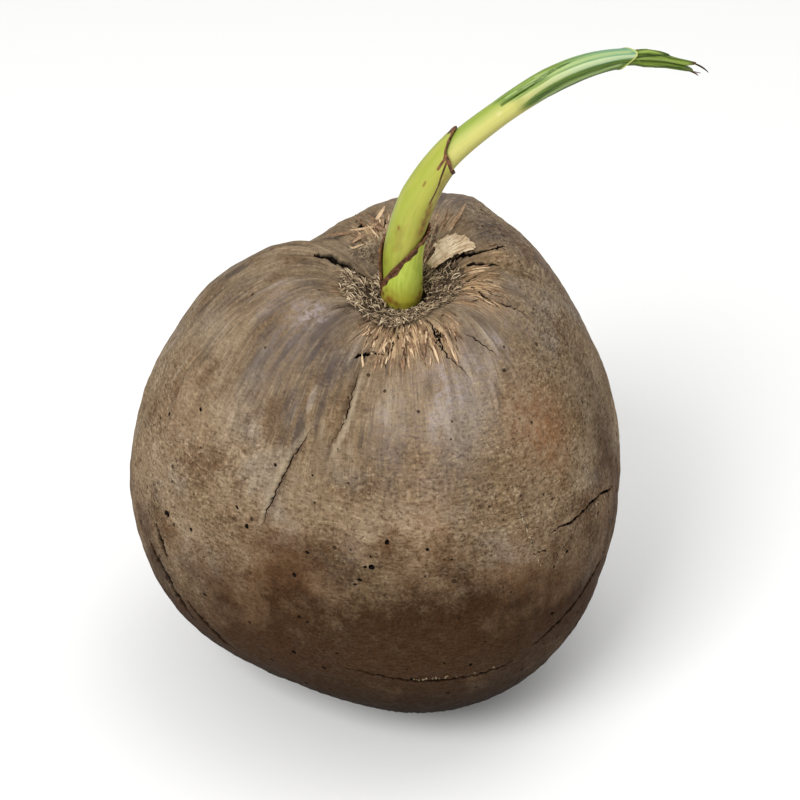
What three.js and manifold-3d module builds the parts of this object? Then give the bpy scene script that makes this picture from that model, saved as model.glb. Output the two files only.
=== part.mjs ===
// A sprouted coconut: the whole dry husk standing on a small flat spot, and the shoot that grows
// out of its dimpled top. The shoot is a short scale leaf round its foot, a sheath, the first
// leaf, still folded, and the spear leaf that pushes out of it. Millimetres, +Z up, the origin
// under the shoot's foot on the surface that the nut rests on.
import * as THREE from 'three';
import { mergeVertices } from 'three/addons/utils/BufferGeometryUtils.js';
import Module from 'manifold-3d';

const wasm = await Module();
wasm.setup();

// Directions: azimuths are degrees round the vertical, 0 at +X and 90 at +Y.
// The husk is measured from a centre on the vertical through the shoot's foot. A place on it is
// an azimuth and an arc, the angle from the top times the radius there.
const centreHeight = 92;
const middleRadius = 105;
const topReach = 127.5;
const bottomReach = 94.5;
const topPower = 1.93;
const bottomPower = 2.12;
const threeSides = { share: 0.045, azimuth: 180 };
const heavySide = { share: 0.145, azimuth: 119 };
const dimple = { depth: 32.5, radius: 33, power: 2.2 };
const furrows = [
  { azimuth: 138, depth: 10.1, before: 31.8, beyond: 10.9, power: 1.5, arc: 80, inside: 44, outside: 20.5 },
  { azimuth: 17.5, depth: 2, before: 16, beyond: 16, power: 2, arc: 46, inside: 34, outside: 34 },
  { azimuth: 258, depth: 9, before: 18, beyond: 18, power: 2, arc: 40, inside: 26, outside: 26 },
];
const furrowStart = 13; // the arc over which the furrows fade in
const dryFlats = [
  { normal: [-0.4, -0.539, -0.741], distance: 97.3 },
  { normal: [0.864, 0.296, 0.408], distance: 106.1 },
];
const flatBlend = 12;
const shoulder = { azimuth: 75.7, arc: 61, height: 5.9, width: 26, radius: 110 };
const foldRidge = { azimuth: 245, arc: 80, height: 1.8, width: 6, length: 24 };

// The husk's relief: fibre ridges that run out of the dimple, and the edge of the coir mat.
const fibreRidges = [
  { count: 19, height: 0.55, phase: 0.4 },
  { count: 31, height: 0.45, phase: 2.1 },
];
const ridgeBand = { arc: 44, spread: 20 };
const matEdge = { azimuth: 270, arc: 25, height: 1.4, soft: 1.6 };

// The husk's mesh: rows close together round the dimple, then wider apart.
const huskSegments = 84;
const dimpleRows = 14;
const bodyRows = 17;
const dimplePolar = 33; // degrees from the top at which the wider rows start

// Splits in the dry skin, as azimuth and arc along each, with their width and depth.
const splitWander = 0.9; // how far a split strays from its path
const splits = [
  { path: [[168, 37], [163, 30], [164, 24], [159, 19], [146, 15]], width: 1.8, depth: 5 },
  { path: [[44, 20], [33, 23], [30, 28], [27, 34], [27, 43]], width: 1.7, depth: 4 },
  { path: [[21, 28], [18, 33], [16, 39]], width: 1.2, depth: 3 },
  { path: [[12, 21], [9, 25], [4, 32]], width: 1.2, depth: 3 },
  { path: [[344, 29], [334, 39], [336, 47], [340, 55]], width: 1.1, depth: 3 },
  { path: [[288, 30], [287, 42], [289, 54], [295, 65]], width: 1.2, depth: 3 },
  { path: [[247, 51], [254, 45], [261, 44]], width: 2, depth: 3.5 },
  { path: [[195, 176], [199, 188], [202, 199], [207, 209]], width: 1.9, depth: 6 },
  { path: [[207, 189], [210, 194], [215, 199]], width: 1.2, depth: 4 },
  { path: [[254, 172], [262, 175], [273, 180], [285, 181], [300, 179]], width: 1.6, depth: 4 },
  { path: [[305, 174], [316, 165], [326, 158], [339, 151]], width: 1.4, depth: 4 },
  { path: [[310, 120], [320, 120], [333, 120], [348, 128]], width: 1.3, depth: 3 },
];
// Creases, where the skin has sunk without breaking.
const creaseWander = 0.2;
const creases = [
  { path: [[251, 52], [251, 65], [250, 76], [247, 89]], width: 4.5, depth: 1.6 },
  { path: [[243, 77], [238, 87], [235, 99], [233, 111], [232, 121]], width: 4, depth: 1.7 },
];
const splitStep = 8;
const cutAbove = 4; // how far a cutting wedge stands over the skin
const sliver = 0.01;

// Torn coir: strands that lie round the shoot's foot, and longer ones that stand off the skin.
const matStrands = { count: 28, innerArc: 12, outerArc: 26, length: 11, thickness: 1.3 };
const tornStrands = [
  { azimuth: 57, arc: 33, turn: -4, rise: 10, length: 16, thickness: 1.9 },
  { azimuth: 106, arc: 38, turn: 100, rise: 14, length: 13, thickness: 2.2 },
  { azimuth: 100, arc: 33, turn: 70, rise: 24, length: 9, thickness: 1.6 },
  { azimuth: 68, arc: 34, turn: 150, rise: 26, length: 9, thickness: 1.5 },
  { azimuth: 142, arc: 33, turn: -120, rise: 16, length: 10, thickness: 1.7 },
  { azimuth: 300, arc: 30, turn: -20, rise: 18, length: 9, thickness: 1.5 },
];
const strandSides = 3;
const flake = { azimuth: 45, arc: 29, width: 17, length: 14, thickness: 1.1, lift: 1.6, cells: 5 };

// The socket in the dimple that the shoot stands in, and the gap between nested pieces.
const socketTop = 32; // along the shoot, clear of the coir mat
const gap = 0.3;

// The shoot's centre line, from inside the socket to the tip, and the height of its foot.
const centreLine = [
  [-0.2, 0, 177.5], [-0.8, 0, 196], [0, 0.1, 214.3], [6.4, 0.5, 235.7], [18, 1.6, 254],
  [37.6, 3.3, 271.1], [55.8, 4.8, 283.2], [74, 6.5, 290.4], [92.5, 8.5, 291.7], [112.9, 12, 286.4],
];
const shootSegments = 20;

// Distances along the shoot are from the start of its centre line. Round it, 0 is the side it
// bends to, 90 the back, 180 the side it bends from and 270 the front.
const scaleLeaf = {
  start: 0.5, radius: 8.65, wall: 0.9, low: 16, rise: 34, notch: 190, power: 1.15, rows: 6,
};
const sheath = {
  start: 0.5, wall: 0.8, mouth: 77, tip: 14, tipSide: 185, tipSharp: 3.2, rows: 10,
  radii: [[0, 7.4], [30, 7.45], [47, 7.5], [59, 7.5], [67, 6.95], [75, 6.6], [92, 6.3]],
};
const firstLeaf = {
  start: 1, end: 161, rows: 30, foldStart: 108, foldDepth: 0.1, folds: 5, lipSlant: 4,
  radii: [[0, 6.1], [47, 6.2], [59, 6.1], [67, 5.7], [75, 5.4], [86, 5.35], [107, 5.05],
    [118, 5.25], [129, 5.6], [139, 5.4], [149, 4.9], [158, 4.3], [165, 4.15]],
  flatStart: 95, flatEnd: 130, flatShare: 0.76, pocketDepth: 26,
};
const spearLeaf = {
  start: 136, end: 189, rows: 18, folds: 3, foldDepth: 0.16, flatShare: 0.76,
  radii: [[130, 2.5], [150, 2.7], [164, 2.9], [168, 3.6], [173, 3.4], [177, 2.8], [189, 2.2]],
  notchDepth: 6, notchWidth: 2.6,
};
const frays = [
  { side: 180, sink: 4, reach: 5.5, droop: 2.5, thickness: 1.1 },
  { side: 0, sink: 4, reach: 2, droop: 2, thickness: 1 },
];

const degree = Math.PI / 180;
const bell = (x) => Math.exp(-x * x);
const clamp = (x, low, high) => Math.min(high, Math.max(low, x));
const ease = (x) => {
  const t = clamp(x, 0, 1);
  return t * t * (3 - 2 * t);
};

// A repeatable random draw from 0 to 1.
function seededDraw(seed) {
  let state = seed;
  return () => {
    state = (state * 1664525 + 1013904223) % 4294967296;
    return state / 4294967296;
  };
}

// The value at x on a line of [x, value] points.
function valueAt(points, x) {
  const next = points.findIndex((point) => point[0] >= x);
  if (next <= 0) return next === 0 ? points[0][1] : points.at(-1)[1];
  const [x0, y0] = points[next - 1];
  const [x1, y1] = points[next];
  return y0 + ((y1 - y0) * (x - x0)) / (x1 - x0);
}

// The sideways distance between two azimuths, in millimetres at a radius.
const sideways = (azimuth, other, radius) => Math.sin((azimuth - other) * degree) * radius;

function flattened(radius, direction, flat) {
  const facing = direction.dot(new THREE.Vector3(...flat.normal));
  const limit = flat.distance / Math.max(facing, 0.05);
  const share = clamp(0.5 + (0.5 * (limit - radius)) / flatBlend, 0, 1);
  return limit * (1 - share) + radius * share - flatBlend * share * (1 - share);
}

function reliefAt(azimuth, arc) {
  const band = bell((arc - ridgeBand.arc) / ridgeBand.spread);
  const wave = ({ count, height, phase }) => height * Math.sin(count * azimuth * degree + phase);
  const ridges = band * fibreRidges.reduce((sum, ridge) => sum + wave(ridge), 0);
  const front = clamp(Math.cos((azimuth - matEdge.azimuth) * degree) * 3, 0, 1);
  const mat = (matEdge.height * front) / (1 + Math.exp((arc - matEdge.arc) / matEdge.soft));
  return ridges + mat;
}

// A furrow's depth: its walls may be steeper beyond its azimuth than before it.
function furrowDepth(furrow, azimuth, acrossRadius, arc) {
  const side = sideways(azimuth, furrow.azimuth, acrossRadius);
  const width = side > 0 ? furrow.beyond : furrow.before;
  const spread = arc < furrow.arc ? furrow.inside : furrow.outside;
  const facing = clamp(3 * Math.cos((azimuth - furrow.azimuth) * degree), 0, 1);
  const start = 1 - bell(arc / furrowStart);
  const profile = Math.exp(-((Math.abs(side) / width) ** furrow.power));
  return furrow.depth * profile * bell((arc - furrow.arc) / spread) * facing * start;
}

// The husk's radius from its centre, at a polar angle in radians and an azimuth in degrees.
function huskRadius(polar, azimuth, withRelief = true) {
  const sine = Math.sin(polar);
  const cosine = Math.cos(polar);
  const [power, reach] = cosine >= 0 ? [topPower, topReach] : [bottomPower, bottomReach];
  const across = middleRadius * (1
    + threeSides.share * Math.cos(3 * (azimuth - threeSides.azimuth) * degree)
    + heavySide.share * Math.cos((azimuth - heavySide.azimuth) * degree));
  let radius = ((sine / across) ** power + (Math.abs(cosine) / reach) ** power) ** (-1 / power);
  const arc = radius * polar;
  const east = Math.cos(azimuth * degree);
  const north = Math.sin(azimuth * degree);
  const direction = new THREE.Vector3(sine * east, sine * north, cosine);
  const peak = shoulder.arc / shoulder.radius;
  const top = new THREE.Vector3(Math.sin(peak) * Math.cos(shoulder.azimuth * degree),
    Math.sin(peak) * Math.sin(shoulder.azimuth * degree), Math.cos(peak));
  radius += shoulder.height * bell((direction.angleTo(top) * shoulder.radius) / shoulder.width);
  for (const furrow of furrows) radius -= furrowDepth(furrow, azimuth, radius * sine, arc);
  for (const flat of dryFlats) radius = flattened(radius, direction, flat);
  const foldSide = sideways(azimuth, foldRidge.azimuth, radius * sine) / foldRidge.width;
  radius += foldRidge.height * bell(foldSide) * bell((arc - foldRidge.arc) / foldRidge.length);
  radius -= dimple.depth * Math.exp(-((arc / dimple.radius) ** dimple.power));
  return withRelief ? radius + reliefAt(azimuth, arc) : radius;
}

function huskPoint(polar, azimuth, withRelief = true) {
  const radius = huskRadius(polar, azimuth, withRelief);
  const flat = radius * Math.sin(polar);
  return new THREE.Vector3(flat * Math.cos(azimuth * degree), flat * Math.sin(azimuth * degree),
    centreHeight + radius * Math.cos(polar));
}

// The polar angle at which the surface has an arc, found by halving.
function polarAt(azimuth, arc) {
  let low = 0;
  let high = Math.PI;
  for (let turn = 0; turn < 30; turn += 1) {
    const middle = (low + high) / 2;
    if (huskRadius(middle, azimuth, false) * middle < arc) low = middle;
    else high = middle;
  }
  return (low + high) / 2;
}

const skinPoint = (azimuth, arc) => huskPoint(polarAt(azimuth, arc), azimuth, false);

function skinNormal(point) {
  const inward = point.clone().sub(new THREE.Vector3(0, 0, centreHeight));
  const polar = Math.acos(inward.z / inward.length());
  const azimuth = Math.atan2(inward.y, inward.x) / degree;
  const step = 0.01;
  const down = huskPoint(polar + step, azimuth, false).sub(huskPoint(polar, azimuth, false));
  const round = huskPoint(polar, azimuth + 1, false).sub(huskPoint(polar, azimuth, false));
  return down.cross(round).normalize();
}

// Geometry and solids

function solidOf(geometry) {
  const bare = geometry.clone();
  bare.deleteAttribute('normal');
  bare.deleteAttribute('uv');
  const merged = mergeVertices(bare, 1e-5);
  return new wasm.Manifold(new wasm.Mesh({
    numProp: 3,
    vertProperties: Float32Array.from(merged.attributes.position.array),
    triVerts: Uint32Array.from(merged.index.array),
  }));
}

function geometryOf(solid) {
  const { vertProperties, triVerts } = solid.getMesh();
  const geometry = new THREE.BufferGeometry();
  geometry.setAttribute('position', new THREE.BufferAttribute(vertProperties, 3));
  geometry.setIndex(new THREE.BufferAttribute(triVerts, 1));
  geometry.computeVertexNormals();
  return geometry;
}

const joined = (solids) => solids.reduce((sum, solid) => sum.add(solid));

// A solid without slivers of faces, and without the loose scraps that a cut leaves beside it.
const cleaned = (solid) => solid.simplify(sliver).decompose()
  .reduce((largest, body) => (body.volume() > largest.volume() ? body : largest));

// A skin over rings of points, closed by a point at each end, or from the last ring to the
// first where the rings go out along one face of a wall and back along the other.
function loft(rings, isWall = false) {
  const sides = rings[0].length;
  const positions = rings.flat();
  const faces = [];
  const joinRings = (low, high) => {
    for (let side = 0; side < sides; side += 1) {
      const next = (side + 1) % sides;
      faces.push(low * sides + side, low * sides + next, high * sides + next);
      faces.push(low * sides + side, high * sides + next, high * sides + side);
    }
  };
  const capRing = (ring, isStart) => {
    const middle = new THREE.Vector3();
    rings[ring].forEach((point) => middle.addScaledVector(point, 1 / sides));
    positions.push(middle);
    for (let side = 0; side < sides; side += 1) {
      const edge = [ring * sides + side, ring * sides + ((side + 1) % sides)];
      faces.push(positions.length - 1, ...(isStart ? edge.reverse() : edge));
    }
  };
  for (let ring = 0; ring + 1 < rings.length; ring += 1) joinRings(ring, ring + 1);
  if (isWall) joinRings(rings.length - 1, 0);
  else {
    capRing(0, true);
    capRing(rings.length - 1, false);
  }
  const geometry = new THREE.BufferGeometry().setFromPoints(positions);
  geometry.setIndex(faces);
  return geometry;
}

// The husk

function huskBody() {
  const rows = dimpleRows + bodyRows;
  const geometry = new THREE.SphereGeometry(1, huskSegments, rows);
  const positions = geometry.attributes.position;
  const polarOf = (row) => {
    if (row <= dimpleRows) return (dimplePolar * degree * row) / dimpleRows;
    const share = (row - dimpleRows) / bodyRows;
    return dimplePolar * degree + (180 - dimplePolar) * degree * (0.45 * share + 0.55 * share ** 1.3);
  };
  for (let row = 0; row <= rows; row += 1) {
    for (let segment = 0; segment <= huskSegments; segment += 1) {
      const azimuth = ((segment % huskSegments) * 360) / huskSegments;
      const point = huskPoint(polarOf(row), row === 0 || row === rows ? 0 : azimuth);
      positions.setXYZ(row * (huskSegments + 1) + segment, ...point);
    }
  }
  return solidOf(geometry);
}

// A wedge along a path on the skin, that cuts a split or a crease into it.
function wedge({ path, width, depth }, wander, draw) {
  const line = new THREE.CatmullRomCurve3(path.map(([azimuth, arc]) => skinPoint(azimuth, arc)));
  const steps = Math.max(3, Math.round(line.getLength() / splitStep));
  const rings = [];
  for (let step = 0; step <= steps; step += 1) {
    const share = step / steps;
    const point = line.getPointAt(share);
    const normal = skinNormal(point);
    const side = normal.clone().cross(line.getTangentAt(share)).normalize();
    const taper = 0.25 + 0.75 * Math.sin(Math.PI * share) ** 0.6;
    const half = (width / 2) * taper * (0.75 + 0.5 * draw()) * (1 + cutAbove / depth);
    const middle = point.clone().addScaledVector(side, (2 * draw() - 1) * wander);
    rings.push([
      middle.clone().addScaledVector(normal, -depth * taper),
      middle.clone().addScaledVector(normal, cutAbove).addScaledVector(side, half),
      middle.clone().addScaledVector(normal, cutAbove).addScaledVector(side, -half),
    ]);
  }
  return solidOf(loft(rings));
}

// A tapering strand of coir that starts in the skin and curves away from it.
function strand({ azimuth, arc, turn, rise, length, thickness }) {
  const root = huskPoint(polarAt(azimuth, arc), azimuth);
  const up = skinNormal(root);
  const outward = new THREE.Vector3(Math.cos(azimuth * degree), Math.sin(azimuth * degree), 0);
  const forward = outward.clone().addScaledVector(up, -outward.dot(up)).normalize();
  forward.applyAxisAngle(up, turn * degree);
  const lift = Math.tan(rise * degree);
  const line = new THREE.QuadraticBezierCurve3(
    root.clone().addScaledVector(up, -thickness).addScaledVector(forward, -thickness),
    root.clone().addScaledVector(forward, length / 2).addScaledVector(up, length * 0.2 * lift),
    root.clone().addScaledVector(forward, length).addScaledVector(up, length * lift),
  );
  const rings = [0, 0.35, 0.7, 1].map((share) => {
    const along = line.getTangent(share);
    const side = along.clone().cross(up).normalize();
    const over = side.clone().cross(along);
    const half = (thickness / 2) * (1 - 0.5 * share);
    return Array.from({ length: strandSides }, (_, corner) => {
      const angle = (corner / strandSides) * 2 * Math.PI;
      return line.getPoint(share).addScaledVector(side, half * Math.cos(angle))
        .addScaledVector(over, -half * Math.sin(angle));
    });
  });
  return solidOf(loft(rings));
}

function coirMat(draw) {
  const between = (low, high) => low + (high - low) * draw();
  return Array.from({ length: matStrands.count }, (_, index) => strand({
    azimuth: ((index + 0.7 * draw()) * 360) / matStrands.count,
    arc: between(matStrands.innerArc, matStrands.outerArc),
    turn: between(-100, 100),
    rise: between(4, 22),
    length: matStrands.length * between(0.6, 1.1),
    thickness: matStrands.thickness * between(0.8, 1.2),
  }));
}

// The pale papery flake that has lifted off beside the shoot, fast along its outer edge.
function paperyFlake(draw) {
  const { azimuth, arc, width, length, thickness, lift, cells } = flake;
  const radius = arc * 0.95;
  const grid = (height) => Array.from({ length: cells + 1 }, (_, row) => (
    Array.from({ length: cells + 1 }, (__, column) => {
      const across = (column / cells - 0.5) * width * (1 - 0.25 * Math.abs(row / cells - 0.5));
      const along = (row / cells - 0.5) * length + (column % 2) * 0.8;
      const point = skinPoint(azimuth + across / radius / degree, arc + along);
      const raised = lift * (1 - row / cells) + 0.5 * height.wave[row][column];
      return point.addScaledVector(skinNormal(point), raised + height.offset - 0.2);
    })
  ));
  const wave = Array.from({ length: cells + 1 }, () => Array.from({ length: cells + 1 }, draw));
  const lower = grid({ wave, offset: -thickness / 2 });
  const upper = grid({ wave, offset: thickness / 2 });
  const rings = lower.map((row, index) => [...row, ...upper[index].toReversed()]);
  return solidOf(loft(rings)).volume() > 0 ? solidOf(loft(rings)) : solidOf(loft(rings.reverse()));
}

// The socket follows the shoot's line from under the scale leaf until it is clear of the dimple.
function socket() {
  const distances = [scaleLeaf.start - gap, 10, 20, socketTop];
  return solidOf(loft(distances.map((distance) => (
    sides.map((side) => shootPoint(distance, side, scaleLeaf.radius + gap))))));
}

function table() {
  const size = 300;
  return solidOf(new THREE.BoxGeometry(size, size, size).translate(0, 0, -size / 2));
}

function husk() {
  const draw = seededDraw(11);
  const strands = [...coirMat(draw), ...tornStrands.map(strand), paperyFlake(draw)];
  const cuts = [
    ...creases.map((line) => wedge(line, creaseWander, draw)),
    ...splits.map((line) => wedge(line, splitWander, draw)),
  ];
  return geometryOf(cleaned(huskBody().subtract(joined(cuts)).add(joined(strands))
    .subtract(socket()).subtract(table())));
}

// The shoot

const shootLine = new THREE.CatmullRomCurve3(
  centreLine.map((point) => new THREE.Vector3(...point)), false, 'catmullrom', 0.5);
const shootLength = shootLine.getLength();

// A point beside the shoot's centre line, at a distance along it, a side in degrees and a radius.
function shootPoint(distance, side, radius, flatShare = 1) {
  const share = clamp(distance / shootLength, 0, 1);
  const along = shootLine.getTangentAt(share);
  const back = new THREE.Vector3(0, 1, 0);
  back.addScaledVector(along, -back.dot(along)).normalize();
  const right = back.clone().cross(along);
  return shootLine.getPointAt(share)
    .addScaledVector(right, radius * Math.cos(side * degree))
    .addScaledVector(back, radius * flatShare * Math.sin(side * degree))
    .addScaledVector(along, distance - share * shootLength);
}

const sides = Array.from({ length: shootSegments }, (_, index) => (index * 360) / shootSegments);

// A wall round the shoot: out along its outer face to a mouth of any height, and back inside.
function wallAroundShoot({ start, rows, wall }, mouthAt, radiusAt) {
  const ring = (share, inset) => sides.map((side) => {
    const distance = start + (mouthAt(side) - start) * share;
    return shootPoint(distance, side, radiusAt(distance, side) - inset);
  });
  const shares = Array.from({ length: rows + 1 }, (_, row) => row / rows);
  return loft([...shares.map((share) => ring(share, 0)),
    ...shares.toReversed().map((share) => ring(share, wall))], true);
}

function scaleLeafGeometry() {
  const mouthAt = (side) => scaleLeaf.low
    + scaleLeaf.rise * Math.abs(Math.sin(((side - scaleLeaf.notch) * degree) / 2)) ** scaleLeaf.power;
  return wallAroundShoot(scaleLeaf, mouthAt, () => scaleLeaf.radius);
}

function sheathGeometry() {
  const mouthAt = (side) => sheath.mouth
    + sheath.tip * ((1 + Math.cos((side - sheath.tipSide) * degree)) / 2) ** sheath.tipSharp;
  return wallAroundShoot(sheath, mouthAt, (distance) => valueAt(sheath.radii, distance));
}

// The share of its width that a leaf keeps from front to back, as its blade starts.
const leafFlatness = (leaf, distance) => 1
  - (1 - leaf.flatShare) * ease((distance - leaf.flatStart) / (leaf.flatEnd - leaf.flatStart));

// The folds of a blade that is still closed, as a share of its radius.
const foldAt = (leaf, side, share) => 1
  - leaf.foldDepth * share * (0.5 + 0.5 * Math.cos(leaf.folds * (side - 270) * degree));

function firstLeafGeometry() {
  const ringAt = (distance, inner) => sides.map((side) => {
    const share = ease((distance - firstLeaf.foldStart) / 14);
    const slant = firstLeaf.lipSlant * Math.cos((side - 180) * degree)
      * ease((distance - firstLeaf.end + 30) / 30);
    const flatShare = leafFlatness(firstLeaf, distance);
    if (inner) {
      const pocket = valueAt(spearLeaf.radii, distance + slant) + gap / firstLeaf.flatShare;
      return shootPoint(distance + slant, side, pocket, flatShare);
    }
    const radius = valueAt(firstLeaf.radii, distance) * foldAt(firstLeaf, side, share);
    return shootPoint(distance + slant, side, radius, flatShare);
  });
  const rowsOf = (low, high, rows) => Array.from(
    { length: rows + 1 }, (_, row) => low + ((high - low) * row) / rows);
  const outside = rowsOf(firstLeaf.start, firstLeaf.end, firstLeaf.rows);
  const pocket = rowsOf(firstLeaf.end, firstLeaf.end - firstLeaf.pocketDepth, 6);
  return loft([...outside.map((distance) => ringAt(distance, false)),
    ...pocket.map((distance) => ringAt(distance, true))]);
}

// The torn notch at the spear leaf's end.
function tornNotch() {
  const { end, notchDepth, notchWidth } = spearLeaf;
  const corners = [[end - notchDepth, 0], [end + 4, -notchWidth], [end + 4, notchWidth]];
  const rings = [-8, 8].map((depth) => corners.map(([distance, off]) => (
    shootPoint(distance, 0, off).add(new THREE.Vector3(0, depth, 0)))));
  const solid = loft(rings);
  return solidOf(solid).volume() > 0 ? solidOf(solid) : solidOf(loft(rings.reverse()));
}

// A brown shred that hangs on from the torn end.
function fray({ side, sink, reach, droop, thickness }) {
  const root = shootPoint(spearLeaf.end - sink, side, 1.3);
  const middle = shootPoint(spearLeaf.end, side, 1.4);
  const tip = shootPoint(spearLeaf.end + reach, side, 1.2).add(new THREE.Vector3(0, 0, -droop));
  const line = new THREE.QuadraticBezierCurve3(root, middle, tip);
  const rings = [0, 0.4, 0.7, 1].map((share) => {
    const along = line.getTangent(share);
    const back = new THREE.Vector3(0, 1, 0);
    const right = back.clone().cross(along).normalize();
    return Array.from({ length: 4 }, (_, corner) => {
      const angle = (corner / 4) * 2 * Math.PI;
      return line.getPoint(share).addScaledVector(right, (thickness / 2) * Math.cos(angle))
        .addScaledVector(back, (thickness / 2) * Math.sin(angle));
    });
  });
  return solidOf(loft(rings));
}

function spearLeafGeometry() {
  const rings = Array.from({ length: spearLeaf.rows + 1 }, (_, row) => {
    const distance = spearLeaf.start + ((spearLeaf.end - spearLeaf.start) * row) / spearLeaf.rows;
    const share = ease((distance - 163) / 8);
    return sides.map((side) => shootPoint(distance, side,
      valueAt(spearLeaf.radii, distance) * foldAt(spearLeaf, side, share), spearLeaf.flatShare));
  });
  return geometryOf(solidOf(loft(rings)).subtract(tornNotch()).add(joined(frays.map(fray))));
}

// The object

function piece(name, geometry, color, roughness) {
  const material = new THREE.MeshStandardMaterial({ color, roughness, metalness: 0 });
  const mesh = new THREE.Mesh(geometry, material);
  mesh.name = name;
  return mesh;
}

const coconut = new THREE.Group();
coconut.add(piece('husk', husk(), 0x7d6a53, 0.85));
coconut.add(piece('scale_leaf', scaleLeafGeometry(), 0x9cae3c, 0.5));
coconut.add(piece('sheath', sheathGeometry(), 0xa9b94a, 0.5));
coconut.add(piece('first_leaf', firstLeafGeometry(), 0x7f9f47, 0.45));
coconut.add(piece('spear_leaf', spearLeafGeometry(), 0x8aa14e, 0.45));

export default coconut;
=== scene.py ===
# Dresses the sprouted coconut: the dry husk with its splits, creases and coir, and the green
# shoot in its dried scale leaf, its sheath and its folded leaves. Shapes are worked out in
# millimetres in the part's own frame, and set down in metres.
import math

import bpy
import numpy as np
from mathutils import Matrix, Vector


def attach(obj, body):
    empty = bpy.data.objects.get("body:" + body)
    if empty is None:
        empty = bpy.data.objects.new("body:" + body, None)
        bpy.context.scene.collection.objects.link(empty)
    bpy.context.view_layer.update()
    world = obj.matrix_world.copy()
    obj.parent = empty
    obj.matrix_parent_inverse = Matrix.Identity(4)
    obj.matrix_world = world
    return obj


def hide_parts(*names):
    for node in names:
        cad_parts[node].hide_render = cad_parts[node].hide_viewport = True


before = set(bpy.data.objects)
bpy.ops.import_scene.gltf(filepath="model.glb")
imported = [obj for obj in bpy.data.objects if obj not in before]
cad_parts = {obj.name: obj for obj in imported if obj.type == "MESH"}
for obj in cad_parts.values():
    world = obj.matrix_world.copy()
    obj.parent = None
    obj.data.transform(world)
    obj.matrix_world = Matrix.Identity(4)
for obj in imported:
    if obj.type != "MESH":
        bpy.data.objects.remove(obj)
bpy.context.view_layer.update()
print("frame loaded:", ", ".join(sorted(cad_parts)))

millimetre = 0.001


# Small helpers for places, numbers and selections

def bell(x):
    return np.exp(-x * x)


def ease(x):
    share = np.clip(x, 0, 1)
    return share * share * (3 - 2 * share)


def unit(vectors):
    return vectors / np.linalg.norm(vectors, axis=-1, keepdims=True)


def tableAt(points, value):
    # what a line through pairs of place and value says at a place
    places, values = np.array(points, float).T
    return np.interp(value, places, values)


def waves(points, wavelength, seed, count=20):
    # smooth random hills of about unit height, from sines that run in random directions
    draw = np.random.default_rng(seed)
    directions = unit(draw.normal(size=(count, 3)))
    lengths = wavelength * draw.uniform(0.7, 1.4, count)
    phases = draw.uniform(0, 2 * math.pi, count)
    total = np.zeros(len(points))
    for direction, length, phase in zip(directions, lengths, phases):
        total += np.sin(points @ direction * (2 * math.pi / length) + phase)
    return total * math.sqrt(2 / count)


def selectOnly(piece):
    if bpy.context.object and bpy.context.object.mode != "OBJECT":
        bpy.ops.object.mode_set(mode="OBJECT")
    bpy.ops.object.select_all(action="DESELECT")
    piece.select_set(True)
    bpy.context.view_layer.objects.active = piece


def meshPoints(piece):
    points = np.empty(len(piece.data.vertices) * 3, np.float32)
    piece.data.vertices.foreach_get("co", points)
    return points.reshape(-1, 3).astype(float)


def setPoints(piece, points):
    piece.data.vertices.foreach_set("co", points.astype(np.float32).ravel())
    piece.data.update()


def faceOutward(piece):
    selectOnly(piece)
    bpy.ops.object.mode_set(mode="EDIT")
    bpy.ops.mesh.select_all(action="SELECT")
    bpy.ops.mesh.normals_make_consistent(inside=False)
    bpy.ops.object.mode_set(mode="OBJECT")


def smoothUpTo(piece, degrees):
    selectOnly(piece)
    bpy.ops.object.shade_smooth_by_angle(angle=math.radians(degrees))


def applyModifiers(piece):
    selectOnly(piece)
    for modifier in list(piece.modifiers):
        bpy.ops.object.modifier_apply(modifier=modifier.name)


def setAttribute(piece, name, values):
    attribute = piece.data.attributes.new(name, "FLOAT", "POINT")
    attribute.data.foreach_set("value", np.asarray(values, np.float32))


def finished(piece, material, slot, *nodes):
    piece.data.materials.clear()
    piece.data.materials.append(material)
    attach(piece, "root")
    if nodes:
        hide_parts(*nodes)


def newPiece(name, add, **settings):
    bpy.ops.object.select_all(action="DESELECT")
    add(**settings)
    piece = bpy.context.active_object
    piece.name = name
    return piece


def newSphere(name, sides, rings, radius=1.0, place=(0, 0, 0)):
    return newPiece(name, bpy.ops.mesh.primitive_uv_sphere_add, segments=sides, ring_count=rings,
                    radius=radius, location=place)


def addTube(name, rings, sides, placeAt):
    # a sphere's rings laid out along a line: placeAt gets each point's share of the line, its
    # angle round it in degrees, and 0 at the two closing points or 1 elsewhere
    piece = newSphere(name, sides, rings)
    points = meshPoints(piece)
    flat = np.hypot(points[:, 0], points[:, 1])
    share = np.round(np.arctan2(flat, points[:, 2]) / math.pi * rings) / rings
    turn = np.round(np.arctan2(points[:, 1], points[:, 0]) / (2 * math.pi) * sides) / sides
    spread = np.where((share < 1e-6) | (share > 1 - 1e-6), 0.0, 1.0)
    angle = (turn % 1) * 360
    setPoints(piece, placeAt(share, angle * spread, spread) * millimetre)
    return piece, share, angle


# Camera, floor and light

studio = {
    "eye": (-0.0009, -0.7829, 0.6670),
    "aim": (-0.0013, 0, 0.1388),
    "lens": 101.27,
    "floorSize": 8,
    "floorDrop": 0.0003,
    "floorTone": (0.92, 0.92, 0.91, 1),
    "skyStrength": 0.63,
    "lamps": [
        {"name": "key", "place": (-0.8, -1.25, 1.45), "size": 0.9, "power": 29},
        {"name": "top", "place": (0.5, 0.3, 1.8), "size": 1.4, "power": 9},
    ],
    "nutCentre": (0, 0, 0.12),
}


def turnTowards(piece, target):
    way = Vector(target) - piece.location
    piece.rotation_euler = way.to_track_quat("-Z", "Y").to_euler()


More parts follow.
